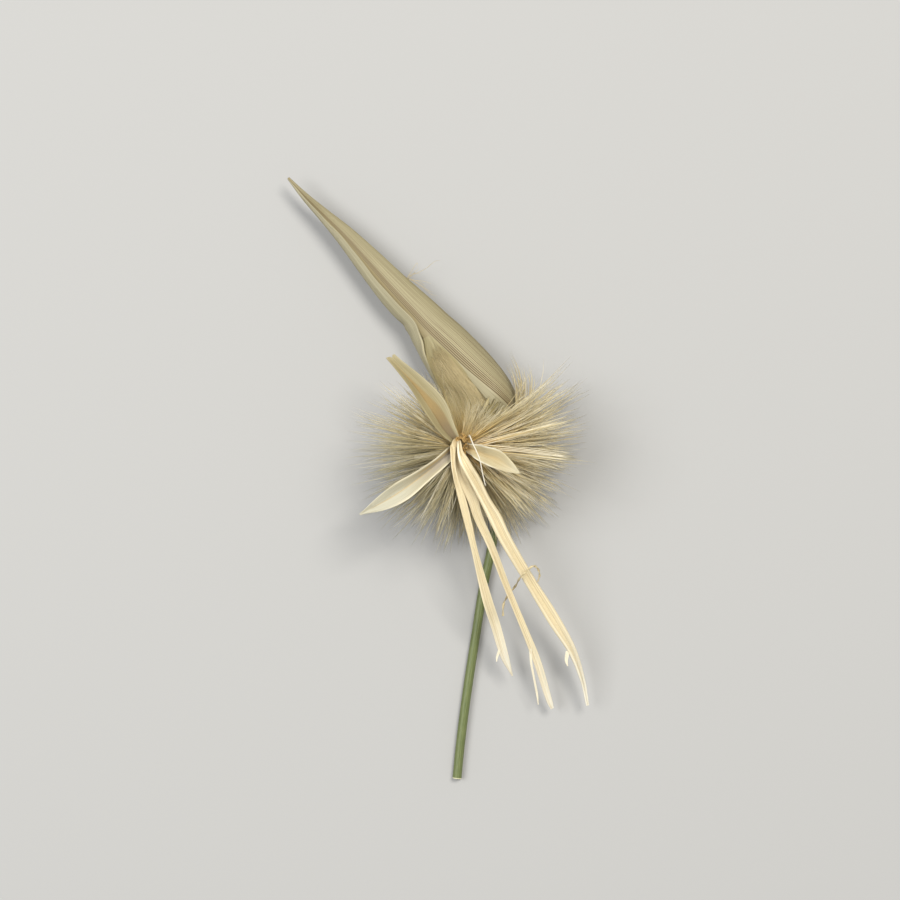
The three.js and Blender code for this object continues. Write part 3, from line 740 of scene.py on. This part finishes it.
def spathe_section(half_width, half_height, left, right, flap):
    """One section's middle line (across, up), from the left margin round the back to the flap's edge."""
    turn = np.radians(np.linspace(left, 360 + right, SPATHE_COLUMNS))
    arc = np.stack([half_width * np.cos(turn), half_height * np.sin(turn)], -1)
    leaving = math.atan2(*(arc[-1] - arc[-2])[::-1])
    share = np.arange(1, FLAP_COLUMNS + 1) / FLAP_COLUMNS
    bend = leaving + np.radians(FLAP_TURN) * share
    steps = np.stack([np.cos(bend), np.sin(bend)], -1) * flap / FLAP_COLUMNS
    return np.concatenate([arc, arc[-1] + np.cumsum(steps, axis=0)])


def spathe_grid(t):
    """The spathe's middle surface as a grid, a row for each t, and the direction to its right there."""
    track = spline(SPATHE_STATIONS, t)
    forward = unit(np.gradient(track[:, :2], axis=0))
    right = np.stack([forward[:, 1], -forward[:, 0], np.zeros(len(t))], -1)
    rows = []
    for place, side, (x, y, width, height, lift, left, margin, flap) in zip(t, right, track):
        left = left + 1.5 * math.sin(38 * place) + math.sin(91 * place)
        flap = max(flap, FLAP_LEAST) * (1 + 0.08 * math.sin(47 * place))
        line = spathe_section((width - SPATHE_WALL) / 2, (height - SPATHE_WALL) / 2, left, margin, flap)
        centre = np.array([x, y, lift + height / 2 - SPATHE_PRESSED])
        rows.append(centre + line[:, :1] * side + line[:, 1:] * UP)
    return np.array(rows), right


def spathe_form():
    """The roll with its veins, a curled fold on its margins and a nick in its left side."""
    t = np.linspace(0, 1, SPATHE_ROWS)
    grid, right = spathe_grid(t)
    t = t[:, None]
    u = np.arange(grid.shape[1])[None, :] / (SPATHE_COLUMNS - 1)
    fade = smoothstep(0.0, 0.06, t) * smoothstep(1.0, 0.9, t)
    in_flap = smoothstep(1.0, 1.01, u)
    flap_share = np.clip((u - 1) * (SPATHE_COLUMNS - 1) / FLAP_COLUMNS, 0, 1)
    folded = bump_at(0.014, 0.011, u) * bump_at(FOLD_PLACE, 0.035, t)
    curl = smoothstep(0.65, 1.0, flap_share) * bump_at(FOLD_PLACE - 0.05, 0.035, t)
    rise = LEFT_MARGIN_RISE * smoothstep(0.035, 0.0, u) + FOLD_HEIGHT * folded + FLAP_CURL * curl
    nick = bump_at(NICK_PLACE, 0.014, t) * smoothstep(NICK_PLACE - 0.004, NICK_PLACE, t)
    inward = NICK_DEPTH * nick * bump_at(LEFT_SIDE, 0.06, u)
    grid = grid + UP * (rise * fade)[..., None] + right[:, None] * inward[..., None]
    grid[..., 2] = np.maximum(grid[..., 2], SPATHE_WALL / 2 + VEIN_HEIGHT)
    ribs = (0.5 + 0.5 * np.cos(2 * np.pi * VEIN_COUNT * u)) ** 2 * (1 - in_flap)
    edge = np.minimum(smoothstep(0, 0.015, u), 1 - 0.6 * in_flap)
    wall = SPATHE_WALL / 2 * (0.4 + 0.6 * edge)
    low_down = smoothstep(0.6, 0.36, t)
    lined = smoothstep(0.88 - 0.25 * low_down, 0.93 - 0.13 * low_down, u)
    banded = smoothstep(*RIGHT_BAND, u) * smoothstep(0.02, 0.08, t) * (1 - in_flap)
    values = {
        "across": u,
        "along": t,
        "veined": (0.16 + (0.3 + low_down) * lined + 0.3 * banded) * (1 - in_flap),
        "pale": 0.35 * in_flap * low_down + 0.7 * smoothstep(0.2, 0.14, u),
        "rib": (0.8 - 0.15 * low_down) * banded,
        # Painted shade on the flap up the hood, where it lies tucked under the left margin.
        "dim": 0.5 * in_flap * (1 - low_down),
        "edge": np.clip(0.12 * smoothstep(0.01, 0.0, u) + 0.4 * folded + 0.2 * curl, 0, 1),
    }
    return sheet(grid, wall, wall + VEIN_HEIGHT * ribs * fade, values)


# Blades

def blade_grid(spec, rows=BLADE_ROWS, columns=BLADE_COLUMNS):
    """A blade's middle surface as a grid, its normal at each row, and its own coordinates t and u."""
    t = np.linspace(0, 1, rows)
    u = np.linspace(-1, 1, columns)[None, :]
    centre = spline(spec["path"], t)
    forward = unit(np.gradient(centre, axis=0))
    level = unit(np.cross(forward, UP))
    lifted = np.cross(level, forward)
    roll = np.radians(spec.get("roll", 0))
    side = level * math.cos(roll) + np.cross(forward, level) * math.sin(roll)
    normal = lifted * math.cos(roll) + np.cross(forward, lifted) * math.sin(roll)
    half = np.maximum(spline(spec["width"], t), 0.04)[:, None] / 2
    grid = centre[:, None] + (u * half)[..., None] * side[:, None]
    return grid, normal[:, None], t[:, None], u


def blade_sheet(grid, t, u, wall, values=()):
    """A closed blade, thinner at its edges."""
    half = wall / 2 * (0.35 + 0.65 * smoothstep(1.0, 0.8, np.abs(u)))
    return sheet(grid, half, half, dict(values, across=u, along=t))


def side_share(u, keel):
    """How far each point is from the keel, from 0 on it to 1 at the edges."""
    return np.where(u < keel, (keel - u) / (1 + keel), (u - keel) / (1 - keel))


def upper_left_looks(t, u):
    """A thin ochre rib near the tip that widens into a brown groove towards the base, with pale sides. Low down
    the groove's brown-grey is partly its own colour and partly painted shade.
    """
    keel = LEMMA_UPPER_LEFT["keel"]
    band_end = np.interp(t, [0.2, 0.42, 0.6, 0.8], [0.62, 0.45, 0.08, keel + 0.1])
    groove = smoothstep(keel - 0.12, keel + 0.02, u) * smoothstep(band_end + 0.14, band_end - 0.06, u)
    return {
        "rib": 0.85 * groove * smoothstep(0.2, 0.42, t) * smoothstep(0.97, 0.8, t),
        "pale": 0.75 * smoothstep(0.5, 0.9, u) * (1 - groove) + 0.1 * smoothstep(0.75, 1.0, -u),
        # Painted shade in the groove towards the base, over the groove's own brown-grey.
        "dim": 0.85 * groove * smoothstep(0.55, 0.25, t),
    }


def lower_left_looks(t, u):
    """A greyish groove between two bright margins, darkened with painted shade, an ochre line on each side of
    it and a whitish tip.
    """
    in_groove = smoothstep(0.8, 0.5, np.abs(u))
    middle_line = bump_at(-0.02, 0.06, u) * smoothstep(0.3, 0.45, t) * smoothstep(1.0, 0.85, t)
    upper_line = bump_at(0.62, 0.13, u) * smoothstep(0.65, 0.4, t)
    return {
        "rib": 0.85 * middle_line + 0.95 * upper_line + 0.5 * smoothstep(0.08, 0.0, t),
        "pale": 0.9 * smoothstep(0.4, 0.75, t) * (1 - middle_line),
        # Painted shade in the groove between the raised margins.
        "dim": 0.9 * in_groove * smoothstep(0.65, 0.3, t) * (1 - upper_line) * (1 - middle_line),
        "edge": 0.75 * smoothstep(0.8, 0.92, np.abs(u)) * smoothstep(0.9, 0.6, t),
    }


def right_looks(t, u):
    """Ochre at the base and down the middle, with bright margins and painted shade at the base."""
    return {
        "rib": 0.7 * smoothstep(0.3, 0.05, t) + 0.5 * bump_at(0.1, 0.35, u) * smoothstep(0.95, 0.6, t),
        "pale": 0.7 * smoothstep(0.65, 1.0, t),
        # Painted shade at the base.
        "dim": 0.3 * smoothstep(0.2, 0.05, t),
        "edge": 0.9 * smoothstep(0.82, 0.94, np.abs(u)) * smoothstep(0.8, 0.5, t),
    }


def lemma_form(spec, looks, seed, blunt=False):
    """A boat-shaped blade with a keel, lifted margins and fine nerves. A blunt one ends in a notch."""
    grid, normal, t, u = blade_grid(spec)
    groove = spec["groove"] * np.sin(np.pi * (0.12 + 0.86 * t)) + 0.06
    bowl = side_share(u, spec["keel"]) ** 1.25 - 0.5
    nerves = 0.018 * np.cos(9 * np.pi * u) * smoothstep(0.0, 0.15, t) * smoothstep(1.0, 0.9, t)
    wave = 0.07 * np.sin(9 * t + seed) * np.abs(u) ** 3 + 0.05 * np.sin(23 * t + 2 * seed) * u**4 * np.sign(u)
    grid = grid + (groove * bowl + nerves + wave)[..., None] * normal
    if blunt:
        forward = unit(grid[-1] - grid[-6])
        notch = 0.22 * bump_at(0.15, 0.22, u) + 0.3 * (u + 1) / 2
        grid = grid - (notch * smoothstep(0.93, 1.0, t))[..., None] * forward[None]
    values = {"veined": 0.35 * smoothstep(0.05, 0.3, t), **looks(t, u)}
    return blade_sheet(grid, t, u, LEMMA_WALL, values)


def palea_form(spec, seed, keels):
    """A long strap, folded along one or two keels."""
    grid, normal, t, u = blade_grid(spec, rows=STRAP_ROWS)
    if keels == 2:
        fold = np.cos(1.5 * np.pi * u) * 0.8 - 0.25 * u
        wander = 0.06 * np.sin(9 * t)
        crease = bump_at(-0.28 + wander, 0.04, u) + 0.8 * bump_at(-0.58 - wander, 0.035, u)
        crease = crease + 0.5 * bump_at(0.3, 0.04, u)
    else:
        fold = 1 - 1.7 * np.abs(u + 0.1)
        crease = 0.6 * bump_at(0.05 * np.sin(8 * t), 0.07, u) + 0.4 * bump_at(0.5, 0.06, u)
    height = -spec["groove"] * fold * smoothstep(0.0, 0.12, t) * smoothstep(1.05, 0.8, t)
    height = height + 0.02 * np.cos(11 * np.pi * u + 2 * np.sin(7 * t + seed))
    height = height + 0.05 * np.sin(17 * t + seed) * u + 0.04 * np.sin(31 * t + 3 * seed) * np.abs(u) ** 2
    values = {
        "veined": 0.45,
        "rib": 0.7 * crease * smoothstep(0.02, 0.12, t) + spec["ochre"] * smoothstep(0.14, 0.03, t),
        "edge": spec.get("white_fold", 0) * smoothstep(0.2, 0.8, u) * smoothstep(0.3, 0.15, t),
        "pale": smoothstep(0.72, 0.97, t),
        # Painted shade towards the base of a strap that lies under the others.
        "dim": spec.get("dim", 0) * smoothstep(0.6, 0.3, t),
    }
    return blade_sheet(grid + height[..., None] * normal, t, u, PALEA_WALL, values)


def strap_form(spec, sliver, seed, keels=1):
    """A palea with a sliver that has come loose from its edge."""
    grid, normal, t, u = blade_grid(sliver, rows=24, columns=7)
    grid = grid + (0.06 * u**2)[..., None] * normal
    return joined([palea_form(spec, seed, keels), blade_sheet(grid, t, u, SLIVER_WALL, {"pale": 0.6})])


# Floret tube and the crumbs in its mouth

def tube_form():
    """The tube is turned round the line from base to mouth, with a thin rim and a hollow throat."""
    radius, share = np.array(TUBE_PROFILE).T
    axis = unit(TUBE_MOUTH - TUBE_BASE)
    side = unit(np.cross(axis, UP))
    over = np.cross(side, axis)
    angle = np.linspace(0, 2 * np.pi, TUBE_SIDES, endpoint=False)
    ring = np.cos(angle)[:, None] * side + np.sin(angle)[:, None] * over
    ribbed = 1 + 0.03 * np.cos(9 * angle)
    centre = TUBE_BASE + (TUBE_MOUTH - TUBE_BASE) * share[:, None]
    rings = centre[:, None] + (radius[:, None] * ribbed)[..., None] * ring
    along = np.append(np.repeat(share, TUBE_SIDES), [0, 1])
    across = np.append(np.tile(angle / (2 * np.pi), len(radius)), [0, 0])
    return tubular(rings, centre[[0, -1]], along, across, {"rib": 0.6 + 0 * along})


def crumb_form(rng, at, size):
    """One curled brown crumb."""
    turn = rng.uniform(0, 360)
    forward = directions(turn, rng.uniform(20, 80))
    path = [at, at + forward * size * 0.5, at + forward * size * 0.8 + directions(turn + 90, 10) * size * 0.4]
    spec = dict(path=path, width=[size * 0.4, size * 0.6, size * 0.2])
    grid, normal, t, u = blade_grid(spec, rows=16, columns=9)
    grid = grid + (size * 0.25 * u**2 + 0.04 * np.sin(7 * t + 5 * u))[..., None] * normal
    return blade_sheet(grid, t, u, CRUMB_WALL)


def crumbs_form(rng):
    crumbs = []
    for k in range(CRUMB_COUNT):
        at = CRUMBS_AT[k % len(CRUMBS_AT)] + rng.normal(0, 1, 3) * CRUMB_SCATTER
        crumbs.append(crumb_form(rng, at, rng.uniform(*CRUMB_SIZES)))
    return joined(crumbs)


def fluff_form(rng):
    """A few curled fibres that start on the spathe's edge."""
    fibres = []
    for end in FLUFF_ENDS:
        middle = (FLUFF_AT + end) / 2 + rng.normal(0, 0.35, 3)
        late = FLUFF_AT + (end - FLUFF_AT) * 0.8 + rng.normal(0, 0.3, 3)
        fibres.append(rod([FLUFF_AT + rng.normal(0, 0.1, 3), middle, late, end], 24, 4, FLUFF_RADII))
    return joined(fibres)


# Hairs

def obstacles_of(forms):
    whole = joined(forms)
    return BVHTree.FromPolygons(whole["points"].tolist(), whole["triangles"].tolist())


def meets(points, obstacles):
    """True if a line of points passes through an obstacle."""
    for a, b in zip(points[:-1], points[1:]):
        step = Vector(b - a)
        if obstacles.ray_cast(Vector(a), step, step.length)[0] is not None:
            return True
    return False


def over_roof(point, obstacles):
    """True if a point is over the hood's roof."""
    if point[2] <= ROOF_HEIGHT or point[1] <= ROOF_FRONT or point[0] + point[1] <= ROOF_SIDE:
        return False
    below = obstacles.ray_cast(Vector(point), Vector((0, 0, -1)))[0]
    return below is not None and below[2] > ROOF_HEIGHT


def is_clear(points, obstacles):
    """True if a line stays within its limits, meets no obstacle and doesn't pass over the hood's roof."""
    lowest, highest = points[:, 2].min(), points[:, 2].max()
    if lowest < TABLE_GAP or highest > HIGHEST_HAIR or points[:, 0].max() > FARTHEST_HAIR:
        return False
    return not meets(points, obstacles) and not any(over_roof(point, obstacles) for point in points[1:])


def curve(root, bend, tip, t):
    """Points on the curves that leave root for bend and end at tip."""
    t = t[:, None]
    return (1 - t) ** 2 * root[..., None, :] + 2 * t * (1 - t) * bend[..., None, :] + t**2 * tip[..., None, :]


def lock_root(share, azimuth):
    return TUBE_BASE + (TUBE_MOUTH - TUBE_BASE) * share + directions(azimuth, 0) * LOCK_ROOT_OUT


def open_guide(share, azimuth, elevation, length):
    """Root, bend and tip of a lock of the open globe."""
    root = lock_root(share, azimuth)
    bend = root + directions(azimuth, elevation) * length / 2
    bend[2] = max(bend[2], TABLE_GAP + 0.2)
    tip = bend + directions(azimuth, elevation - LOCK_DROOP) * length / 2
    tip[2] = max(tip[2], TABLE_GAP + 0.05)
    return root, bend, tip


def hood_guide(share, azimuth, tip, height):
    """Root, bend and tip of a lock that goes in under the roof. All of them draw together up the hood."""
    root = lock_root(share, azimuth)
    bend = root + directions(azimuth, 0) * HOOD_GUIDE["length"]
    bend[2] = root[2] + (height - root[2]) * HOOD_GUIDE["bend"]
    return root, bend, np.array([*tip, height])


def open_elevation(share, azimuth, jitter):
    """Where a lock points: out and up with the height of its root, and under what lies over it."""
    low, high = LOCK_ELEVATIONS
    elevation = low + (high - low) * share**LOCK_ELEVATION_EASE + jitter
    for start, end, highest in COVERED:
        if start < azimuth < end or start < azimuth - 360 < end:
            elevation = min(elevation, highest + jitter / 2)
    return elevation


def clear_guide(guide_at, obstacles):
    """The first clear guide, or None. guide_at takes a turn in degrees and a share of the length."""
    t = np.linspace(0, 1, 6)
    for scale in GUIDE_SCALES:
        for turn in GUIDE_TURNS:
            guide = guide_at(turn, scale)
            if is_clear(curve(*guide, t), obstacles):
                return guide
    return None


def new_lock(guide, **how):
    root, bend, tip = (np.asarray(point, float) for point in guide)
    return dict(USUAL_LOCK, root=root, bend=bend, tip=tip, **how)


def open_lock(rng, share, azimuth, obstacles, longest=LOCK_LENGTH):
    """A lock of the open globe in a list, which is empty if no guide is clear."""
    rise = open_elevation(share, azimuth, rng.uniform(-LOCK_TILT, LOCK_TILT))
    long_side = max(0, facing(azimuth, LONG_SIDE)) ** 3
    stray_side = max(0, facing(azimuth, STRAY_SIDE)) ** 2
    longer = 1 + LONG_SIDE_GAIN * long_side + STRAY_GAIN * stray_side
    length = longest * rng.uniform(*LOCK_LENGTHS) * longer
    guide = clear_guide(lambda turn, part: open_guide(share, azimuth, rise + turn, length * part), obstacles)
    if guide is None:
        return []
    # Greyer on the side away from the long hairs: painted shade where the globe faces away from the key light.
    grey = max(0, -facing(azimuth, LONG_SIDE))
    # Painted light, with a golden tone, where the right lemma shades the hairs.
    golden = GOLDEN_AND_LIT_GAIN * max(0, facing(azimuth, GOLDEN_AND_LIT_SIDE)) ** 4
    spread, size = rng.lognormal(**LOCK_SPREAD), rng.uniform(*LOCK_SIZES)
    shade = rng.uniform(*LOCK_SHADES) + golden
    return [new_lock(guide, spread=spread, size=size, shade=shade, grey=grey - golden)]


def hood_lock(rng, share, azimuth, obstacles):
    """A lock of the hood in a list, which is empty if no guide is clear."""
    height = rng.uniform(*HOOD_GUIDE["heights"])
    side = (azimuth - HOOD["low"]) / (HOOD["high"] - HOOD["low"]) - 0.5
    tip = np.array(HOOD_GUIDE["tip"]) + side * np.array(HOOD_GUIDE["tip_side"])
    tip = tip + rng.normal(0, HOOD_GUIDE["tip_scatter"], 2)
    guide = clear_guide(lambda turn, part: hood_guide(share, azimuth, tip, height + turn / 9), obstacles)
    if guide is None:
        return []
    shade, spread = rng.uniform(*HOOD["shades"]), rng.uniform(*HOOD["spreads"])
    return [new_lock(guide, shade=shade, spread=spread, **HOOD_LOCK)]


def hooded_or_front(rng, share, azimuth, obstacles):
    """A lock of the hood, or a short one over the front end of its roof."""
    if azimuth < FRONT["high"] and rng.uniform() < FRONT["share"]:
        locks = open_lock(rng, share, azimuth, obstacles, FRONT["length"])
        return [{**lock, **FRONT_LOCK} for lock in locks]
    return hood_lock(rng, share, azimuth, obstacles)


def single_lock(bend, tip, spread, hairs, shade, size, share=0.9):
    out = np.array(bend) - TUBE_MOUTH
    root = lock_root(share, math.degrees(math.atan2(out[1], out[0])))
    return new_lock((root, bend, tip), spread=spread, hairs=hairs, shade=shade, size=size, **SINGLE_LOCK)


def grow_locks(rng, obstacles):
    locks = []
    low, high = LOCK_ROOT_SHARES
    for i in range(LOCK_COUNT):
        share = low + (high - low) * ((i * LOCK_ROOT_STEP) % 1)
        azimuth = (i * GOLDEN_ANGLE + rng.uniform(-LOCK_TURN, LOCK_TURN)) % 360
        grow = hooded_or_front if HOOD["low"] < azimuth < HOOD["high"] else open_lock
        locks += grow(rng, share, azimuth, obstacles)
    for i in range(HOOD["locks"]):
        azimuth = rng.uniform(HOOD["low"], HOOD["high"])
        locks += hood_lock(rng, rng.uniform(*HOOD["shares"]), azimuth, obstacles)
    return locks + [single_lock(*single) for single in SINGLE_LOCKS]


def lock_paths(rng, lock, t):
    """Points along each hair of a lock, and along the line that it is drawn to where it isn't clear."""
    n, root, bend, tip, spread = (lock[key] for key in ("hairs", "root", "bend", "tip", "spread"))
    shortest, longest = lock["reach"]
    roots = root + rng.normal(0, 0.2, (n, 3))
    reach = shortest + (longest - shortest) * rng.uniform(0, 1, (n, 1)) ** HAIR_REACH_EASE
    tips = roots + (tip + rng.normal(0, spread, (n, 3)) - root) * reach
    bends = roots + (bend + rng.normal(0, 0.15 + 0.35 * spread, (n, 3)) - root) * reach
    waves = rng.normal(0, HAIR_WAVE * lock["uneven"], (n, len(t), 3)) * (t * (1.3 - t))[:, None]
    guides = curve(root + 0.3 * (roots - root), root + (bend - root) * reach, root + (tip - root) * reach, t)
    return curve(roots, bends, tips, t) + waves, guides


def grow_hairs(rng, locks, obstacles):
    """Lines of points, one a hair, and each hair's shade, greyness and size. The greyness is partly painted
    shade.
    """
    t = np.linspace(0, 1, HAIR_RINGS + 1)
    lines, traits = [], []
    for lock in locks:
        for path, guide in zip(*lock_paths(rng, lock, t)):
            for pull in HAIR_PULLS:
                line = path + (guide - path) * pull
                if is_clear(line, obstacles):
                    lines.append(line)
                    shade = lock["shade"] + rng.normal(0, 0.25 * lock["uneven"])
                    grey = lock["grey"] + rng.normal(0, 0.15)
                    traits.append((shade, grey, lock["size"]))
                    break
    shades, greys_and_shaded, sizes = np.array(traits).T
    return np.array(lines), np.clip(shades, 0, 1), np.clip(greys_and_shaded, 0, 1), sizes


def hairs_form(lines, shades, greys_and_shaded, sizes):
    """Closed three-sided hairs round the lines, each with a pointed tip."""
    count, rings = len(lines), lines.shape[1] - 1
    forward = unit(lines[:, -1] - lines[:, 0])
    side = unit(np.cross(forward, UP))
    over = np.cross(side, forward)
    angle = np.radians([90, 210, 330])
    out = np.cos(angle)[:, None] * side[:, None] + np.sin(angle)[:, None] * over[:, None]
    t = np.linspace(0, 1, rings + 1)
    radius = HAIR_RADIUS * sizes[:, None] * (1 - 0.4 * t[:-1] ** 2)
    ring_points = lines[:, :-1, None] + radius[..., None, None] * out[:, None]
    points = np.concatenate([ring_points.reshape(count, rings * 3, 3), lines[:, -1:]], axis=1)
    number = np.arange(rings * 3).reshape(rings, 3)
    after = np.roll(number, -1, axis=1)
    one = np.concatenate([
        [[0, 1, 2]],
        split_quads(number[:-1], number[1:], after[1:], after[:-1]),
        np.stack([number[-1], np.full(3, rings * 3), after[-1]], -1),
    ])
    size = rings * 3 + 1
    triangles = (one + size * np.arange(count)[:, None, None]).reshape(-1, 3)
    along = np.tile(np.append(np.repeat(t[:-1], 3), 1.0), count)
    values = {"along": along, "shade": np.repeat(shades, size), "grey": np.repeat(greys_and_shaded, size)}
    return closed_form(points.reshape(-1, 3), triangles, values)


# Packed hairs

def mat_points(t, s):
    """Points on the mat: t from the mouth up the hood, s from its left edge to its right one."""
    left, right = spline(MAT_LEFT, t), spline(MAT_RIGHT, t)
    rise = spline(MAT_CROWN, t) * 4 * s * (1 - s)
    return left + (right - left) * s[..., None] + rise[..., None] * UP


def mat_form():
    """A thin sheet of combed strands from the tube's mouth up into the hood."""
    t = np.linspace(0, 1, MAT_ROWS)[:, None]
    s = np.linspace(0, 1, MAT_COLUMNS)[None, :]
    turn = 2 * np.pi * MAT_STRANDS * s
    wander = 0.25 * np.sin(5 * t + 1)
    strands = np.cos(turn + wander) + 0.7 * np.cos(0.37 * turn + 2 + wander)
    width = np.linalg.norm(spline(MAT_RIGHT, t) - spline(MAT_LEFT, t), axis=-1)
    relief = MAT_RELIEF * np.minimum(1, width / 6) ** 1.5 * strands
    grid = mat_points(t, s) + relief[..., None] * UP
    return sheet(grid, MAT_HALF_WALL, MAT_HALF_WALL, {"across": s, "along": t})


def combed_lines(rng, obstacles):
    """Lines of single fine hairs that lie on the mat, side by side and drawn together up the hood."""
    share = np.linspace(0, 1, HAIR_RINGS + 1)
    lines = []
    for k in range(MAT_HAIRS):
        start, side = (k * step % 1 for step in MAT_HAIR_STEPS)
        t = 0.55 * start + rng.uniform(0.25, 0.42) * share
        line = mat_points(t, side + rng.normal(0, 0.008) * share)
        line = line + (rng.uniform(*MAT_HAIR_LIFT) + rng.normal(0, 0.01, len(t)))[:, None] * UP
        if not meets(line, obstacles):
            lines.append(line)
    return np.array(lines)


def combed_form(rng, obstacles):
    """The hairs on the mat: ochre near the mouth, and darker than the rest up the hood."""
    lines = combed_lines(rng, obstacles)
    ones = np.ones(len(lines))
    form = hairs_form(lines, rng.uniform(*COMBED_SHADES, len(lines)), COMBED_GREY * ones, COMBED_SIZE * ones)
    from_mouth = np.linalg.norm(form["points"] - TUBE_MOUTH, axis=1)
    form["values"]["along"] = np.clip(from_mouth / 12, 0.1, 0.55)
    form["values"]["shade"] -= 0.32 * smoothstep(4.5, 8.0, from_mouth)
    return form


def core_form(rng):
    """A ring of combed strands round the tube, with a ragged outer edge."""
    azimuth = np.linspace(*CORE_AZIMUTHS, CORE_COLUMNS)[None, :]
    t = np.linspace(0, 1, CORE_ROWS)[:, None]
    inner, outer, gain = CORE_RADII
    long_side = facing(azimuth, LONG_SIDE)
    ragged = 1 - 0.4 * rng.uniform(0, 1, (1, CORE_COLUMNS)) ** 1.5
    radius = inner + ((outer + gain * np.maximum(0, long_side)) * ragged - inner) * t
    slope, tilt = CORE_SLOPES
    rise = np.radians(slope + tilt * long_side)
    strand = rng.normal(0, 0.018, (1, CORE_COLUMNS)) * smoothstep(0, 0.3, t)
    lift = CORE_LEVEL + radius * np.tan(rise) - CORE_DROOP * radius**2 + strand
    turned = azimuth + 1.2 * np.sin(1.3 * radius + np.radians(5 * azimuth))
    centre = np.array([*TUBE_MOUTH[:2], 0])
    grid = centre + directions(turned, 0 * turned) * radius[..., None] + UP * lift[..., None]
    around = CORE_AROUND * (azimuth - CORE_AZIMUTHS[0]) / 360
    # Greyer away from the long side: painted shade on the core's side away from the key light.
    values = {"across": around, "along": 0.6 * t, "grey": (0.5 - 0.5 * long_side) * t}
    return sheet(grid, CORE_HALF_WALL, CORE_HALF_WALL, values)


# Stage

def make_floor():
    bpy.ops.mesh.primitive_plane_add(size=FLOOR_SIZE * MM)
    floor = bpy.context.object
    floor.name = "floor"
    material, tree = new_material("floor")
    finish_material(tree, look_of(FLOOR_COLOUR, 0.85, 0.2))
    floor.data.materials.append(material)


def make_light(name, at, size, power, colour):
    lamp = bpy.data.lights.new(name, "AREA")
    lamp.shape = "DISK"
    lamp.size = size * MM
    lamp.energy = power
    lamp.color = colour
    light = bpy.data.objects.new(name, lamp)
    bpy.context.scene.collection.objects.link(light)
    light.location = Vector(at) * MM
    light.rotation_euler = (Vector(LIGHTS_AIM) * MM - light.location).to_track_quat("-Z", "Y").to_euler()


def make_world():
    world = bpy.data.worlds.new("studio")
    bpy.context.scene.world = world
    world.use_nodes = True
    background = world.node_tree.nodes["Background"]
    background.inputs["Color"].default_value = SKY_COLOUR
    background.inputs["Strength"].default_value = SKY_STRENGTH


def make_camera():
    data = bpy.data.cameras.new("camera")
    data.sensor_width = CAMERA_SENSOR
    data.lens = CAMERA_SENSOR * (CAMERA_AT[2] - VIEW_PLANE) / VIEW_WIDTH
    data.clip_start = 0.005
    camera = bpy.data.objects.new("camera", data)
    bpy.context.scene.collection.objects.link(camera)
    camera.location = Vector(CAMERA_AT) * MM
    bpy.context.scene.camera = camera


make_camera()
make_floor()
make_world()
for name, light in LIGHTS.items():
    make_light(name, **light)
bpy.context.scene.view_settings.view_transform = "Standard"

# Bracts, each with the straw that it is made of
bracts = {
    "spathe": (spathe_form(), "spathe_straw"),
    "lemma_upper_left": (lemma_form(LEMMA_UPPER_LEFT, upper_left_looks, seed=1, blunt=True), "dull_and_shaded_straw"),
    "lemma_lower_left": (lemma_form(LEMMA_LOWER_LEFT, lower_left_looks, seed=2), "lemma_straw"),
    "lemma_right": (lemma_form(LEMMA_RIGHT, right_looks, seed=3), "golden_and_lit_straw"),
    "palea_left": (strap_form(PALEA_LEFT, PALEA_LEFT_SLIVER, seed=1), "palea_straw"),
    "palea_middle": (strap_form(PALEA_MIDDLE, PALEA_MIDDLE_SLIVER, seed=2), "palea_straw"),
    "palea_right": (strap_form(PALEA_RIGHT, PALEA_RIGHT_SLIVER, seed=3, keels=2), "palea_straw"),
}
straws = {name: bract_material(name, **look) for name, look in STRAWS.items()}
for name, (form, straw) in bracts.items():
    make_piece(name + "_bract", form, straws[straw], [name], sharp=60)

# Culm and threads
culm = rod(CULM_PATH, 120, 52, [CULM_RADIUS] * 2, ridges=13, ridge_height=0.035)
filament = rod(FILAMENT_PATH, 160, 10, FILAMENT_RADII, twist=1700, flat=0.45)
style = rod(STYLE_PATH, 80, 8, STYLE_RADII, twist=300, flat=0.7)
tan = thread_material("filament_tan", (0.62, 0.52, 0.30), (0.38, 0.29, 0.14), 0.15)
white = thread_material("style_white", (0.86, 0.82, 0.70), (0.66, 0.60, 0.45), 0.25)
make_piece("culm_stem", culm, culm_material(), ["culm"], sharp=60)
make_piece("filament_ribbon", filament, tan, ["stamen_filament"])
make_piece("style_strand", style, white, ["style_thread"])

# Tube, crumbs and hairs. The random draws come in this order.
rng = np.random.default_rng(RANDOM_SEED)
silky, combed = hair_material(), mat_material()
make_piece("floret_tube", tube_form(), straws["lemma_straw"], ["floret_tube_hairs"], sharp=50)
make_piece("anther_flakes", crumbs_form(rng), brown_material(), ["anther_remains"], sharp=60)
mat = mat_form()
make_piece("hood_mat", mat, combed, ["floret_tube_hairs"])
make_piece("hair_core", core_form(rng), combed, ["floret_tube_hairs"])
obstacles = obstacles_of([form for form, straw in bracts.values()] + [culm, filament, style, mat])
lines, shades, greys_and_shaded, sizes = grow_hairs(rng, grow_locks(rng, obstacles), obstacles)
turn = np.arctan2(lines[:, -1, 1] - TUBE_MOUTH[1], lines[:, -1, 0] - TUBE_MOUTH[0])
for k, part in enumerate(np.array_split(np.argsort(turn, kind="stable"), HAIR_PIECES)):
    form = hairs_form(lines[part], shades[part], greys_and_shaded[part], sizes[part])
    make_piece(f"hairs_{k + 1}", form, silky, ["floret_tube_hairs"])
make_piece("caught_fluff", fluff_form(rng), tan, [])
make_piece("combed_hairs", combed_form(rng, obstacles), silky, ["floret_tube_hairs"])
